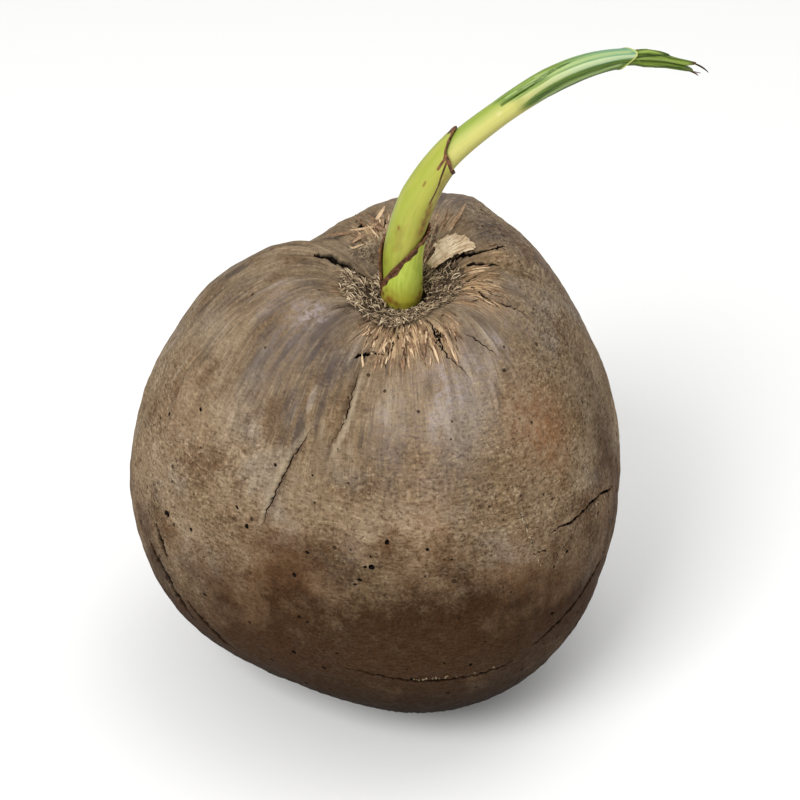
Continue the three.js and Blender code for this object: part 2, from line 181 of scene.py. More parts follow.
def makeStudio():
    scene = bpy.context.scene
    scene.view_settings.view_transform = "Standard"
    bpy.ops.object.camera_add(location=studio["eye"])
    camera = bpy.context.active_object
    camera.data.lens = studio["lens"]
    turnTowards(camera, studio["aim"])
    scene.camera = camera
    for lamp in studio["lamps"]:
        bpy.ops.object.light_add(type="AREA", location=lamp["place"])
        light = bpy.context.active_object
        light.name = lamp["name"]
        light.data.size = lamp["size"]
        light.data.energy = lamp["power"]
        turnTowards(light, studio["nutCentre"])
    sky = bpy.data.worlds.new("paleRoom")
    sky.use_nodes = True
    background = sky.node_tree.nodes["Background"]
    background.inputs["Color"].default_value = (1, 1, 1, 1)
    background.inputs["Strength"].default_value = studio["skyStrength"]
    scene.world = sky
    floor = newPiece("pale_floor", bpy.ops.mesh.primitive_plane_add, size=studio["floorSize"],
                     location=(0, 0, -studio["floorDrop"]))
    floor.data.materials.append(floorMaterial())


# Material helpers

def tone(code, alpha=1):
    # a colour written as a screen sees it, as the linear values that a shader takes
    parts = [int(code[at:at + 2], 16) / 255 for at in (0, 2, 4)]
    return tuple(p / 12.92 if p <= 0.04045 else ((p + 0.055) / 1.055) ** 2.4 for p in parts) + (alpha,)


def addNode(tree, kind, inputs=None, **settings):
    node = tree.nodes.new("ShaderNode" + kind)
    for name, value in settings.items():
        setattr(node, name, value)
    for key, value in (inputs or {}).items():
        if isinstance(value, bpy.types.NodeSocket):
            tree.links.new(value, node.inputs[key])
        else:
            node.inputs[key].default_value = value
    return node


def maths(tree, operation, first, second=0.0, third=0.0):
    node = addNode(tree, "Math", {0: first, 1: second, 2: third}, operation=operation)
    return node.outputs[0]


def mixed(tree, factor, first, second, blend="MIX"):
    # the two colours can be links, values or codes
    first, second = (tone(part) if isinstance(part, str) else part for part in (first, second))
    node = addNode(tree, "Mix", {0: factor, 6: first, 7: second}, data_type="RGBA", blend_type=blend)
    return node.outputs[2]


def remapped(tree, value, low, high, toLow=0.0, toHigh=1.0):
    inputs = {"Value": value, "From Min": low, "From Max": high, "To Min": toLow, "To Max": toHigh}
    return addNode(tree, "MapRange", inputs).outputs["Result"]


def noiseOf(tree, vector, scale, detail=3.0, roughness=0.5):
    inputs = {"Vector": vector, "Scale": scale, "Detail": detail, "Roughness": roughness}
    return addNode(tree, "TexNoise", inputs).outputs["Fac"]


def attributeOf(tree, name):
    return addNode(tree, "Attribute", attribute_name=name).outputs["Fac"]


def objectPlace(tree):
    return addNode(tree, "TexCoord").outputs["Object"]


def coverage(tree, factor, strength, most=1.0):
    # a factor times a strength, held at its most
    return maths(tree, "MINIMUM", maths(tree, "MULTIPLY", factor, strength), most)


def painted(tree, colour, *steps, weight=None):
    # each step lays its colour over the ones before as its value goes from low to high; a weight
    # takes strength from all of them
    for value, low, high, strength, over in steps:
        share = remapped(tree, value, low, high, 0, strength)
        if weight is not None:
            share = maths(tree, "MULTIPLY", share, weight)
        colour = mixed(tree, share, colour, over)
    return colour


def covered(tree, colour, *steps):
    # each step lays its colour over the ones before where the mesh has its attribute
    for name, strength, over in steps:
        colour = mixed(tree, coverage(tree, attributeOf(tree, name), strength), colour, over)
    return colour


def linkLook(tree, shader, colour, specular):
    tree.links.new(colour, shader.inputs["Base Color"])
    shader.inputs["Specular IOR Level"].default_value = specular


def linkBump(tree, shader, height, strength, distance=0.0004):
    inputs = {"Strength": strength, "Distance": distance, "Height": height}
    tree.links.new(addNode(tree, "Bump", inputs).outputs[0], shader.inputs["Normal"])


def newMaterial(name, roughness):
    material = bpy.data.materials.new(name)
    material.use_nodes = True
    shader = material.node_tree.nodes["Principled BSDF"]
    shader.inputs["Roughness"].default_value = roughness
    return material, material.node_tree, shader


def floorMaterial():
    material, _, shader = newMaterial("palePaper", 0.9)
    shader.inputs["Base Color"].default_value = studio["floorTone"]
    shader.inputs["Specular IOR Level"].default_value = 0.1
    return material


makeStudio()
print("camera, floor and lamps are set")


# The husk's form, the same as the solid's

huskForm = {
    "centreHeight": 92,
    "middleRadius": 105,
    "topReach": 127.5,
    "bottomReach": 94.5,
    "topPower": 1.93,
    "bottomPower": 2.12,
    "threeSides": (0.045, 180),
    "heavySide": (0.145, 119),
    "dimple": {"depth": 32.5, "radius": 33, "power": 2.2},
    "furrows": [
        {"azimuth": 138, "depth": 10.1, "before": 31.8, "beyond": 10.9, "power": 1.5,
         "arc": 80, "inside": 44, "outside": 20.5},
        {"azimuth": 17.5, "depth": 2, "before": 16, "beyond": 16, "power": 2,
         "arc": 46, "inside": 34, "outside": 34},
        {"azimuth": 258, "depth": 9, "before": 18, "beyond": 18, "power": 2,
         "arc": 40, "inside": 26, "outside": 26},
    ],
    "furrowStart": 13,
    "dryFlats": [((-0.4, -0.539, -0.741), 97.3), ((0.864, 0.296, 0.408), 106.1)],
    "flatBlend": 12,
    "shoulder": {"azimuth": 75.7, "arc": 61, "height": 5.9, "width": 26, "radius": 110},
    "foldRidge": {"azimuth": 245, "arc": 80, "height": 1.8, "width": 6, "length": 24},
}


def acrossAngle(azimuth, other):
    return np.sin(np.radians(azimuth - other))


def directionOf(polar, azimuth):
    east, north = np.cos(np.radians(azimuth)), np.sin(np.radians(azimuth))
    return np.stack([np.sin(polar) * east, np.sin(polar) * north, np.cos(polar)], -1)


def huskRadius(polar, azimuth):
    # the bare form's radius from its centre, and the arc from the top, in millimetres
    form = huskForm
    sine, cosine = np.sin(polar), np.cos(polar)
    power = np.where(cosine >= 0, form["topPower"], form["bottomPower"])
    reach = np.where(cosine >= 0, form["topReach"], form["bottomReach"])
    share, side = form["threeSides"]
    heavyShare, heavySide = form["heavySide"]
    across = form["middleRadius"] * (1 + share * np.cos(np.radians(3 * (azimuth - side)))
                                     + heavyShare * np.cos(np.radians(azimuth - heavySide)))
    radius = ((sine / across) ** power + (np.abs(cosine) / reach) ** power) ** (-1 / power)
    arc = radius * polar
    direction = directionOf(polar, azimuth)
    shoulder = form["shoulder"]
    peak = directionOf(np.array(shoulder["arc"] / shoulder["radius"]), shoulder["azimuth"])
    apart = np.arccos(np.clip(direction @ peak, -1, 1)) * shoulder["radius"]
    radius = radius + shoulder["height"] * bell(apart / shoulder["width"])
    for furrow in form["furrows"]:
        radius = radius - furrowDepth(furrow, azimuth, radius * sine, arc)
    for normal, distance in form["dryFlats"]:
        radius = flattened(radius, direction @ np.array(normal), distance)
    fold = form["foldRidge"]
    foldSide = acrossAngle(azimuth, fold["azimuth"]) * radius * sine / fold["width"]
    radius = radius + fold["height"] * bell(foldSide) * bell((arc - fold["arc"]) / fold["length"])
    dimple = form["dimple"]
    return radius - dimple["depth"] * np.exp(-(arc / dimple["radius"]) ** dimple["power"]), arc


def furrowDepth(furrow, azimuth, acrossRadius, arc):
    side = acrossAngle(azimuth, furrow["azimuth"]) * acrossRadius
    width = np.where(side > 0, furrow["beyond"], furrow["before"])
    spread = np.where(arc < furrow["arc"], furrow["inside"], furrow["outside"])
    facing = np.clip(3 * np.cos(np.radians(azimuth - furrow["azimuth"])), 0, 1)
    start = 1 - bell(arc / huskForm["furrowStart"])
    profile = np.exp(-(np.abs(side) / width) ** furrow["power"])
    return furrow["depth"] * profile * bell((arc - furrow["arc"]) / spread) * facing * start


def flattened(radius, facing, distance):
    # a radius held under a plane at that distance, with a blend where they meet
    blend = huskForm["flatBlend"]
    limit = distance / np.maximum(facing, 0.05)
    share = np.clip(0.5 + 0.5 * (limit - radius) / blend, 0, 1)
    return limit * (1 - share) + radius * share - blend * share * (1 - share)


def huskPoints(polar, azimuth, outward=0.0):
    radius = huskRadius(polar, azimuth)[0]
    centre = np.array([0, 0, huskForm["centreHeight"]])
    return centre + directionOf(polar, azimuth) * (radius + outward)[..., None]


def placeOnSkin(azimuth, arc):
    # the points of the bare skin at azimuths in degrees and arcs in millimetres
    azimuth, arc = np.broadcast_arrays(np.asarray(azimuth, float), np.asarray(arc, float))
    low, high = np.zeros(azimuth.shape), np.full(azimuth.shape, math.pi)
    for halving in range(30):
        middle = (low + high) / 2
        short = huskRadius(middle, azimuth)[0] * middle < arc
        low, high = np.where(short, middle, low), np.where(short, high, middle)
    return huskPoints((low + high) / 2, azimuth)


def anglesOf(points):
    # polar angle and azimuth of places seen from the husk's centre, and how far out they are
    away = points - np.array([0, 0, huskForm["centreHeight"]])
    across = np.hypot(away[..., 0], away[..., 1])
    azimuth = np.degrees(np.arctan2(away[..., 1], away[..., 0]))
    return np.arctan2(across, away[..., 2]), azimuth, across


def skinNormals(points):
    # the way out of the bare skin, from two short steps on it
    polar, azimuth, _ = anglesOf(points)
    polarStep, azimuthStep = 0.01, 1
    here = huskPoints(polar, azimuth)
    down = huskPoints(polar + polarStep, azimuth) - here
    around = huskPoints(polar, azimuth + azimuthStep) - here
    return unit(np.cross(down, around))


# The husk's finer relief

huskSkin = {
    "segments": 340,
    "rings": 236,
    "ringKnots": [(0, 0), (0.05, 4), (0.38, 30), (0.76, 106), (1, 180)],
    "frontShare": 0.45,
    "coirEdge": [(0, 24.5), (26, 24.5), (40, 19), (60, 17), (90, 16), (120, 14), (150, 13.5), (162, 17),
                 (170, 24), (196, 27.5), (216, 28.8), (241, 27.4), (254, 26), (267, 25), (290, 26.3),
                 (305, 25.6), (328, 24.9), (360, 24.5)],
    "coirHeight": 1.3,
    "coirRough": 0.8,
    "moat": (12, 2.4, 2.2),
    "ridges": [(19, 0.5, 0.4), (31, 0.4, 2.1)],
    "ridgeBand": (44, 22),
    "wrinkles": 0.4,
    "wrinkleFade": (52, 26),
    "wrinkleLean": (0.45, 205),
    "lumps": 0.26,
    "lumpStart": 40,
    "grain": 0.1,
    "tornBand": (7, 7),
    "tornHeight": 0.5,
    "pits": 300,
    "pitArcs": (60, 150, 235),
    "pitSizes": (0.38, 0.95, 1.7),
    "crust": [(84, 27, 12, 15, 1), (126, 31, 9, 8, 0.9), (38, 24, 8, 7, 0.6)],
    "hollows": [(115, 39.5, 2.4), (111, 37, 1.8), (204, 150, 1.8), (216, 170, 1.5), (262, 118, 1.4),
                (240, 172, 1.5), (290, 45, 1.5)],
    # how deep in a cut the painted shade starts, and the depth over which it comes in full
    "cutDepths": (0.12, 1.4),
    # painted shade low on the nut: the heights round it where the darkening starts, how it fades in, and
    # the darkest shade underneath
    "lowShadeHeights": [(0, 100), (90, 86), (180, 90), (214, 94), (240, 109), (270, 121), (300, 112),
                    (340, 99), (360, 99)],
    "lowShadeFade": (34, 70),
    "underShadeFade": (70, 55),
}

# Splits: path on the skin as azimuth and arc, width and depth
splits = [
    ([(166, 38), (163, 33), (161, 29.6), (161, 25), (163.5, 20.5), (158, 15)], 6.4, 7),
    ([(43, 18.5), (36, 22), (33, 28), (29, 34), (28, 41), (29, 50)], 2.5, 4),
    ([(21, 28), (18, 33), (15, 42)], 2, 3.5),
    ([(3, 20), (0, 25), (4, 32)], 2, 3.5),
    ([(344, 29), (334, 39), (336, 47), (340, 55)], 1.5, 3),
    ([(288, 30), (287, 42), (289, 54), (295, 65)], 0.8, 3),
    ([(247, 51), (254, 45), (261, 44)], 1.6, 3.5),
    ([(196, 178), (202, 184), (205, 192), (208, 202)], 6, 6),
    ([(209, 186), (213, 192), (219, 199)], 4, 5),
    ([(254, 172), (262, 175), (273, 180), (285, 181), (300, 179)], 2, 5),
    ([(305, 174), (316, 165), (326, 158), (339, 151)], 2.8, 5),
    ([(310, 120), (320, 120), (333, 120), (348, 128)], 1.8, 4),
    ([(300, 47), (303, 51), (309, 60)], 0.6, 2),
    ([(200.5, 161), (202.5, 166), (204.5, 172)], 4.4, 5),
    ([(304, 125), (308, 126)], 0.8, 2),
    ([(251, 56), (251, 65), (250, 76), (247, 86)], 0.7, 3),
    ([(242, 79), (238, 87), (235, 99), (233, 109), (232, 117)], 0.7, 3),
]
splitCut = {"spacing": 1.1, "wander": 0.55, "jitter": 0.24, "widths": (0.6, 1.25), "above": 2.5,
            "endShare": 0.15, "endPower": 0.55}

# Creases: path, depth, the side of the path that the steep wall is on (1 right or -1 left, seen
# from outside) and the reach of the slow side
creases = [
    ([(251, 52), (251, 65), (250, 76), (247, 89)], 2.1, 1, 6),
    ([(243, 77), (238, 87), (235, 99), (233, 111), (232, 121)], 1.8, -1, 5),
    ([(305, 62), (303, 74), (300, 84)], 0.7, -1, 3),
    ([(289, 34), (290, 46), (293, 58), (297, 72)], 1.1, 1, 5),
    ([(312, 36), (311, 50), (313, 62), (316, 74)], 0.8, -1, 5),
    ([(228, 38), (231, 50), (230, 68)], 0.9, -1, 4),
    ([(219, 40), (221, 52), (219, 66)], 0.8, 1, 4),
]
# lip: place, width and share of the lip's rise, where a painted highlight also runs; foot: place and width
# of the painted shadow at the fold's foot
creaseForm = {"spacing": 0.8, "wall": 0.7, "lip": (1.6, 1.1, 0.3), "foot": (0.6, 1.5)}


def lineAlong(points, spacing):
    # evenly spaced points on the smooth curve through a few, with the curve's directions
    ends = [2 * points[0] - points[1], *points, 2 * points[-1] - points[-2]]
    pieces = []
    shares = np.linspace(0, 1, 40, endpoint=False)[:, None]
    for p0, p1, p2, p3 in zip(ends, ends[1:], ends[2:], ends[3:]):
        t0, t1 = (p2 - p0) / 2, (p3 - p1) / 2
        pieces.append(p1 + t0 * shares + (3 * (p2 - p1) - 2 * t0 - t1) * shares ** 2
                      + (2 * (p1 - p2) + t0 + t1) * shares ** 3)
    fine = np.vstack([*pieces, points[-1][None]])
    lengths = np.concatenate([[0], np.cumsum(np.linalg.norm(np.diff(fine, axis=0), axis=1))])
    count = max(3, round(lengths[-1] / spacing))
    at = np.linspace(0, lengths[-1], count + 1)
    return np.stack([np.interp(at, lengths, fine[:, axis]) for axis in range(3)], -1), lengths[-1]


def pathOnSkin(path, spacing):
    azimuths, arcs = np.array(path, float).T
    return lineAlong(list(placeOnSkin(azimuths, arcs)), spacing)[0]


def coirEdgeAt(azimuth):
    return tableAt(huskSkin["coirEdge"], azimuth % 360)


def meridianPlaces(polar, azimuth, around, along):
    # places stretched along the husk's fibres, which run from the top to the bottom
    turn = np.radians(azimuth)
    return np.stack([np.cos(turn) * around, np.sin(turn) * around, polar * along], -1)


def creaseFields(points):
    # a fold: the skin sinks slowly on one side, and rises steeply to a thin lip on the other;
    # how deep it is, and where the painted shadow at its foot and the painted highlight on its lip run
    lipPlace, lipWidth, lipShare = creaseForm["lip"]
    shadowPlace, shadowWidth = creaseForm["foot"]
    depth, foot, lip = np.zeros((3, len(points)))
    for path, deepest, steep, reach in creases:
        line = pathOnSkin(path, creaseForm["spacing"])
        side = unit(np.cross(skinNormals(line), unit(np.gradient(line, axis=0)))) * steep
        nearest = np.full(len(points), 1e9)
        across, place = np.zeros((2, len(points)))
        for index, spot in enumerate(line):
            away = points - spot
            apart = np.linalg.norm(away, axis=1)
            closer = apart < nearest
            nearest[closer] = apart[closer]
            across[closer] = away[closer] @ side[index]
            place[closer] = index / (len(line) - 1)
        signed = nearest * np.sign(across)
        taper = np.sin(math.pi * np.clip(place, 0.01, 0.99)) ** 0.7 * deepest
        sunk = np.where(signed < 0, np.exp(signed / reach), np.exp(-signed / creaseForm["wall"]))
        rise = bell((signed - lipPlace) / lipWidth)
        depth += taper * (sunk - lipShare * rise)
        foot = np.maximum(foot, taper * bell((signed + shadowPlace) / shadowWidth))
        lip = np.maximum(lip, taper * rise)
    return depth, foot, lip


def wrinkleField(polar, azimuth):
    # the drying folds that run out of the dimple: crests are above 0
    broad = waves(meridianPlaces(polar, azimuth, 22, 9), 2.6, 4)
    narrow = waves(meridianPlaces(polar, azimuth, 52, 15), 2.6, 5)
    broken = 0.6 + 0.4 * waves(meridianPlaces(polar, azimuth, 9, 9), 2.6, 12)
    return (0.6 * broad + 0.5 * narrow) * broken


def wrinkleShare(azimuth, arc):
    # they reach furthest down on the left of the nut
    fadeArc, fadeReach = huskSkin["wrinkleFade"]
    lean, leanSide = huskSkin["wrinkleLean"]
    left = 1 + lean * np.cos(np.radians(azimuth - leanSide))
    return bell(np.maximum(arc - fadeArc * left, 0) / (fadeReach * left))


def huskRelief(polar, azimuth, arc):
    # how far the skin stands out from the bare form
    form = huskSkin
    bare = huskPoints(polar, azimuth)
    centreArc, spread = form["ridgeBand"]
    relief = sum(height * np.sin(count * np.radians(azimuth) + phase)
                 for count, height, phase in form["ridges"]) * bell((arc - centreArc) / spread)
    relief += form["wrinkles"] * wrinkleField(polar, azimuth) * wrinkleShare(azimuth, arc)
    relief += form["lumps"] * waves(bare, 34, 6) * ease((arc - form["lumpStart"]) / form["lumpStart"])
    relief += form["lumps"] * 0.3 * waves(bare, 13, 7)
    relief += form["grain"] * waves(meridianPlaces(polar, azimuth, 70, 24), 2.4, 8)
    inCoir = 1 / (1 + np.exp((arc - coirEdgeAt(azimuth)) / 0.9))
    rough = 0.6 * waves(bare, 4.2, 9) + 0.5 * waves(bare, 2.4, 10)
    relief += inCoir * (form["coirHeight"] + form["coirRough"] * rough)
    tornBeyond, tornReach = form["tornBand"]
    torn = bell((arc - coirEdgeAt(azimuth) - tornBeyond) / tornReach)
    relief += torn * form["tornHeight"] * waves(meridianPlaces(polar, azimuth, 46, 10), 1.7, 11)
    crusted = patchMask(form["crust"], azimuth, arc, arc)
    relief += crusted * (0.7 * rough + 0.5 * waves(bare, 1.8, 13))
    moatArc, moatDepth, moatWidth = form["moat"]
    relief -= moatDepth * bell((arc - moatArc) / moatWidth)
    return relief - creaseFields(bare)[0]


def addSplitCutter(path, width, depth, draw):
    # a wedge along the path: its foot is on the split's bottom, and its ragged top is open
    form = splitCut
    line = pathOnSkin(path, form["spacing"])
    normals = skinNormals(line)
    side = unit(np.cross(normals, unit(np.gradient(line, axis=0))))
    rings = len(line) + 1
    wander = np.convolve(draw.normal(0, form["wander"], len(line) + 4), np.ones(5) / 5, "valid")
    wander += draw.normal(0, form["jitter"], len(line))
    widths = width * draw.uniform(*form["widths"], len(line))
    above, endShare = form["above"], form["endShare"]

    def placeAt(share, angle, spread):
        at = np.clip(np.round(share * rings).astype(int) - 1, 0, len(line) - 1)
        narrowing = np.sin(math.pi * np.clip(share, 0, 1)) ** form["endPower"]
        taper = endShare + (1 - endShare) * narrowing
        middle = line[at] + side[at] * wander[at][:, None]
        bottom = middle - normals[at] * (depth * taper)[:, None]
        half = widths[at] / 2 * taper * (1 + above / depth)
        lip = np.where(angle < 200, 1, -1) * half
        top = middle + normals[at] * above + side[at] * lip[:, None]
        isBottom = (np.abs(angle) < 1)[:, None]
        return np.where(spread[:, None] > 0, np.where(isBottom, bottom, top), middle)

    cutter = addTube("splitCutter", rings, 3, placeAt)[0]
    faceOutward(cutter)
    return cutter


def joinAll(pieces):
    selectOnly(pieces[0])
    for piece in pieces[1:]:
        piece.select_set(True)
    bpy.ops.object.join()
    return bpy.context.active_object


def cutFrom(piece, cutter):
    selectOnly(piece)
    cut = piece.modifiers.new("cut", "BOOLEAN")
    cut.operation = "DIFFERENCE"
    cut.solver = "MANIFOLD"
    cut.object = cutter
    bpy.ops.object.modifier_apply(modifier=cut.name)
    bpy.data.objects.remove(cutter)


rents = {"places": [(250, 297, 29, 45, 16), (327, 356, 27, 42, 9), (92, 122, 33, 41, 5)],
         "length": (4, 11), "width": (0.5, 1.0), "depth": 2.2}


def rentCutters(draw):
    # the short gaps between torn fibres, all of them along the fibres
    cutters = []
    for lowSide, highSide, lowArc, highArc, count in rents["places"]:
        for _ in range(count):
            azimuth, arc = draw.uniform(lowSide, highSide), draw.uniform(lowArc, highArc)
            reach = draw.uniform(*rents["length"])
            lean = draw.uniform(-2, 2)
            path = [(azimuth, arc), (azimuth + lean, arc + reach / 2), (azimuth + lean / 2, arc + reach)]
            cutters.append(addSplitCutter(path, draw.uniform(*rents["width"]), rents["depth"], draw))
    return joinAll(cutters)


def pitCutters(draw):
    # small blind pits, scattered over the middle of the nut, and the few larger hollows
    count = huskSkin["pits"]
    least, spread, power = huskSkin["pitSizes"]
    spots = list(zip(draw.uniform(0, 360, count), draw.triangular(*huskSkin["pitArcs"], count),
                     least + spread * draw.uniform(0, 1, count) ** power))
    cutters = []
    for azimuth, arc, size in spots + huskSkin["hollows"]:
        place = placeOnSkin(azimuth, arc)[None]
        middle = (place + skinNormals(place) * size * 0.2)[0]
        pit = newSphere("pit", 7, 5, size * millimetre, middle * millimetre)
        pit.scale = (1, draw.uniform(0.55, 1), 1.2)
        pit.rotation_euler = draw.uniform(0, 3, 3)
        cutters.append(pit)
    pits = joinAll(cutters)
    bpy.ops.object.transform_apply(location=True, rotation=True, scale=True)
    return pits


def segmentAzimuth(azimuth):
    # segments stand closer on the front
    turn = np.radians(azimuth)
    return azimuth + np.degrees(huskSkin["frontShare"] * (1 - np.cos(turn)))


def addHuskSkin():
    # rings stand closest round the shoot's foot, and widest underneath
    draw = np.random.default_rng(21)

    def placeAt(share, angle, spread):
        polar = np.radians(tableAt(huskSkin["ringKnots"], share))
        azimuth = segmentAzimuth(angle) % 360
        relief = huskRelief(polar, azimuth, huskRadius(polar, azimuth)[1]) * spread
        points = huskPoints(polar, azimuth, relief)
        points[:, 2] = np.maximum(points[:, 2], 0)
        return points

    skin = addTube("husk_skin", huskSkin["rings"], huskSkin["segments"], placeAt)[0]
    for cutter in [addSplitCutter(*split, draw) for split in splits]:
        cutFrom(skin, cutter)
    cutFrom(skin, rentCutters(draw))
    cutFrom(skin, pitCutters(draw))
    return skin


def markHusk(skin):
    # where the coir, the torn fibres, the bloom and the stains are, how deep in a cut for the painted shade
    # there, and where the painted shade and highlights of the wrinkles and folds and the painted shade low
    # on the nut lie
    points = meshPoints(skin) / millimetre
    polar, azimuth, across = anglesOf(points)
    azimuth = azimuth % 360
    radius, arc = huskRadius(polar, azimuth)
    away = np.linalg.norm(points - np.array([0, 0, huskForm["centreHeight"]]), axis=1)
    sunk = radius + huskRelief(polar, azimuth, arc) - away
    cutStart, cutFull = huskSkin["cutDepths"]
    nearTop = wrinkleShare(azimuth, arc)
    # the painted shadow at the folds' feet and the painted highlight on their lips
    foot, lip = creaseFields(points)[1:]
    lowShadeAbove, lowShadeReach = huskSkin["lowShadeFade"]
    underShadeTop, underShadeReach = huskSkin["underShadeFade"]
    edge = tableAt(huskSkin["lowShadeHeights"], azimuth)
    marks = {
        # painted shade, deeper in the cuts and pits
        "cutDepth": np.clip((sunk - cutStart) / cutFull, 0, 1) * ease((points[:, 2] - 0.2) / 1),
        "coir": 1 / (1 + np.exp((arc - coirEdgeAt(azimuth)) / 1.1)),
        "crust": patchMask(huskSkin["crust"], azimuth, arc, across),
        # the wrinkles' crests and troughs, for a painted highlight and painted shade
        "crest": wrinkleField(polar, azimuth) * nearTop,
        "nearTop": nearTop,
        "foldShadow": foot,
        "foldHighlight": lip,
        # painted shade, darker towards the bottom and darkest underneath
        "lowShade": np.clip((edge + lowShadeAbove - points[:, 2]) / lowShadeReach, 0, 1),
        "underShade": ease((underShadeTop - points[:, 2]) / underShadeReach),
    }
    for name, patches in huskPatches.items():
        marks[name] = patchMask(patches, azimuth, arc, across)
    for name, values in marks.items():
        setAttribute(skin, name, values)


# Patches on the husk, as azimuth, arc, reach along the fibres, reach across them and strength

huskPatches = {
    "bloom": [
        (289, 66, 17, 15, 1), (279, 68, 12, 9, 0.7), (217, 50, 9, 8, 1), (220, 63, 11, 7, 0.8),
        (327, 53, 8, 8, 0.7), (312, 59, 10, 8, 0.6), (199, 58, 8, 5, 0.8), (330, 36, 7, 5, 0.5),
        (267, 72, 12, 7, 0.6), (257, 113, 6, 5, 0.35), (80, 70, 16, 20, 0.6), (140, 95, 20, 16, 0.4),
        (30, 75, 14, 12, 0.5),
    ],
    "torn": [
        (272, 42, 10, 15, 1), (254, 37, 7, 9, 0.8), (288, 48, 9, 8, 0.8), (296, 42, 7, 6, 0.6),
        (345, 33, 9, 11, 1), (331, 38, 9, 8, 0.9), (12, 30, 7, 7, 0.7), (205, 31, 4, 4, 0.7),
        (112, 38, 5, 9, 1), (96, 40, 4, 6, 0.7), (60, 38, 7, 8, 0.5), (62, 24, 7, 7, 0.8),
        (24, 44, 5, 5, 0.4),
    ],
    "smudge": [
        (228, 48, 12, 5, 0.9), (233, 60, 9, 5, 0.8), (222, 62, 14, 6, 0.7), (241, 63, 10, 4, 0.9),
        (214, 72, 13, 7, 0.6), (246, 56, 8, 3, 0.7), (232, 78, 8, 6, 0.7), (203, 58, 10, 4, 0.6),
        (198, 44, 7, 5, 0.5), (300, 52, 10, 5, 0.5), (315, 46, 9, 5, 0.6), (352, 46, 6, 5, 0.5),
        (40, 52, 12, 9, 0.8), (70, 56, 12, 10, 0.8), (135, 30, 10, 7, 0.5), (265, 84, 14, 8, 0.4),
        (185, 70, 16, 8, 0.4), (286, 92, 14, 10, 0.35),
    ],
    "stain": [
        (346, 112, 26, 16, 0.9), (352, 89, 18, 7, 0.5), (239, 128, 16, 20, 0.75), (229, 152, 20, 20, 0.6),
        (226, 61, 13, 6, 0.55), (231, 47, 9, 5, 0.7), (220, 73, 9, 6, 0.5), (303, 150, 22, 26, 0.5),
        (60, 140, 30, 40, 0.5), (150, 150, 30, 30, 0.5), (211, 148, 20, 15, 0.4),
    ],
    "rust": [
        (316, 87, 13, 13, 1), (308, 81, 14, 9, 0.6), (277, 103, 20, 10, 0.35), (239, 128, 14, 16, 0.6),
        (340, 130, 18, 12, 0.5), (300, 135, 18, 18, 0.4), (200, 110, 20, 14, 0.2),
    ],
}


def patchMask(patches, azimuth, arc, across):
    mask = np.zeros(len(azimuth))
    for centre, centreArc, along, around, strength in patches:
        side = acrossAngle(azimuth, centre) * across / around
        facing = np.cos(np.radians(azimuth - centre)) > 0
        mask = np.maximum(mask, strength * bell(side) * bell((arc - centreArc) / along) * facing)
    return mask


def fibreGroup():
    # streaks that run from the husk's top to its bottom, for the skin and what is torn from it
    group = bpy.data.node_groups.new("meridianFibres", "ShaderNodeTree")
    for name, value in (("Across", 60.0), ("Along", 8.0), ("Detail", 3.0), ("Roughness", 0.5)):
        socket = group.interface.new_socket(name=name, in_out="INPUT", socket_type="NodeSocketFloat")
        socket.default_value = value
    group.interface.new_socket(name="Streaks", in_out="OUTPUT", socket_type="NodeSocketFloat")
    source = group.nodes.new("NodeGroupInput")
    result = group.nodes.new("NodeGroupOutput")
    parts = addNode(group, "SeparateXYZ", {0: objectPlace(group)}).outputs
    height = maths(group, "SUBTRACT", parts[2], huskForm["centreHeight"] * millimetre)
    square = maths(group, "MULTIPLY", parts[0], parts[0])
    square = maths(group, "MULTIPLY_ADD", parts[1], parts[1], square)
    across = maths(group, "MAXIMUM", maths(group, "SQRT", square), 0.0001)
    polar = maths(group, "ARCTAN2", across, height)
    turn = maths(group, "DIVIDE", source.outputs["Across"], across)
    east = maths(group, "MULTIPLY", parts[0], turn)
    north = maths(group, "MULTIPLY", parts[1], turn)
    down = maths(group, "MULTIPLY", polar, source.outputs["Along"])
    vector = addNode(group, "CombineXYZ", {0: east, 1: north, 2: down}).outputs[0]
    inputs = {"Vector": vector, "Scale": 1.0, "Detail": source.outputs["Detail"],
              "Roughness": source.outputs["Roughness"]}
    streaks = addNode(group, "TexNoise", inputs).outputs["Fac"]
    group.links.new(streaks, result.inputs["Streaks"])
    return group


def fibresIn(tree, group, across, along, detail=3.0, roughness=0.5):
    node = addNode(tree, "Group", node_tree=group)
    values = {"Across": across, "Along": along, "Detail": detail, "Roughness": roughness}
    for name, value in values.items():
        node.inputs[name].default_value = value
    return node.outputs["Streaks"]


def tornAndCrust(tree, middling, fine, coarse):
    # the colours of the torn fibres and of the dimple's crust
    torn = painted(tree, "7a5a3d", (fine, 0.4, 0.6, 1, "c9ab84"), (middling, 0.47, 0.4, 0.7, "4a3424"))
    return torn, painted(tree, "34281f", (coarse, 0.9, 1.1, 1, "a8967c"))


def patched(tree, colour, name, texture, strength, most, over):
    # a colour where the mesh has the attribute, broken up by a texture
    factor = maths(tree, "MULTIPLY", attributeOf(tree, name), texture)
    return mixed(tree, coverage(tree, factor, strength, most), colour, over)


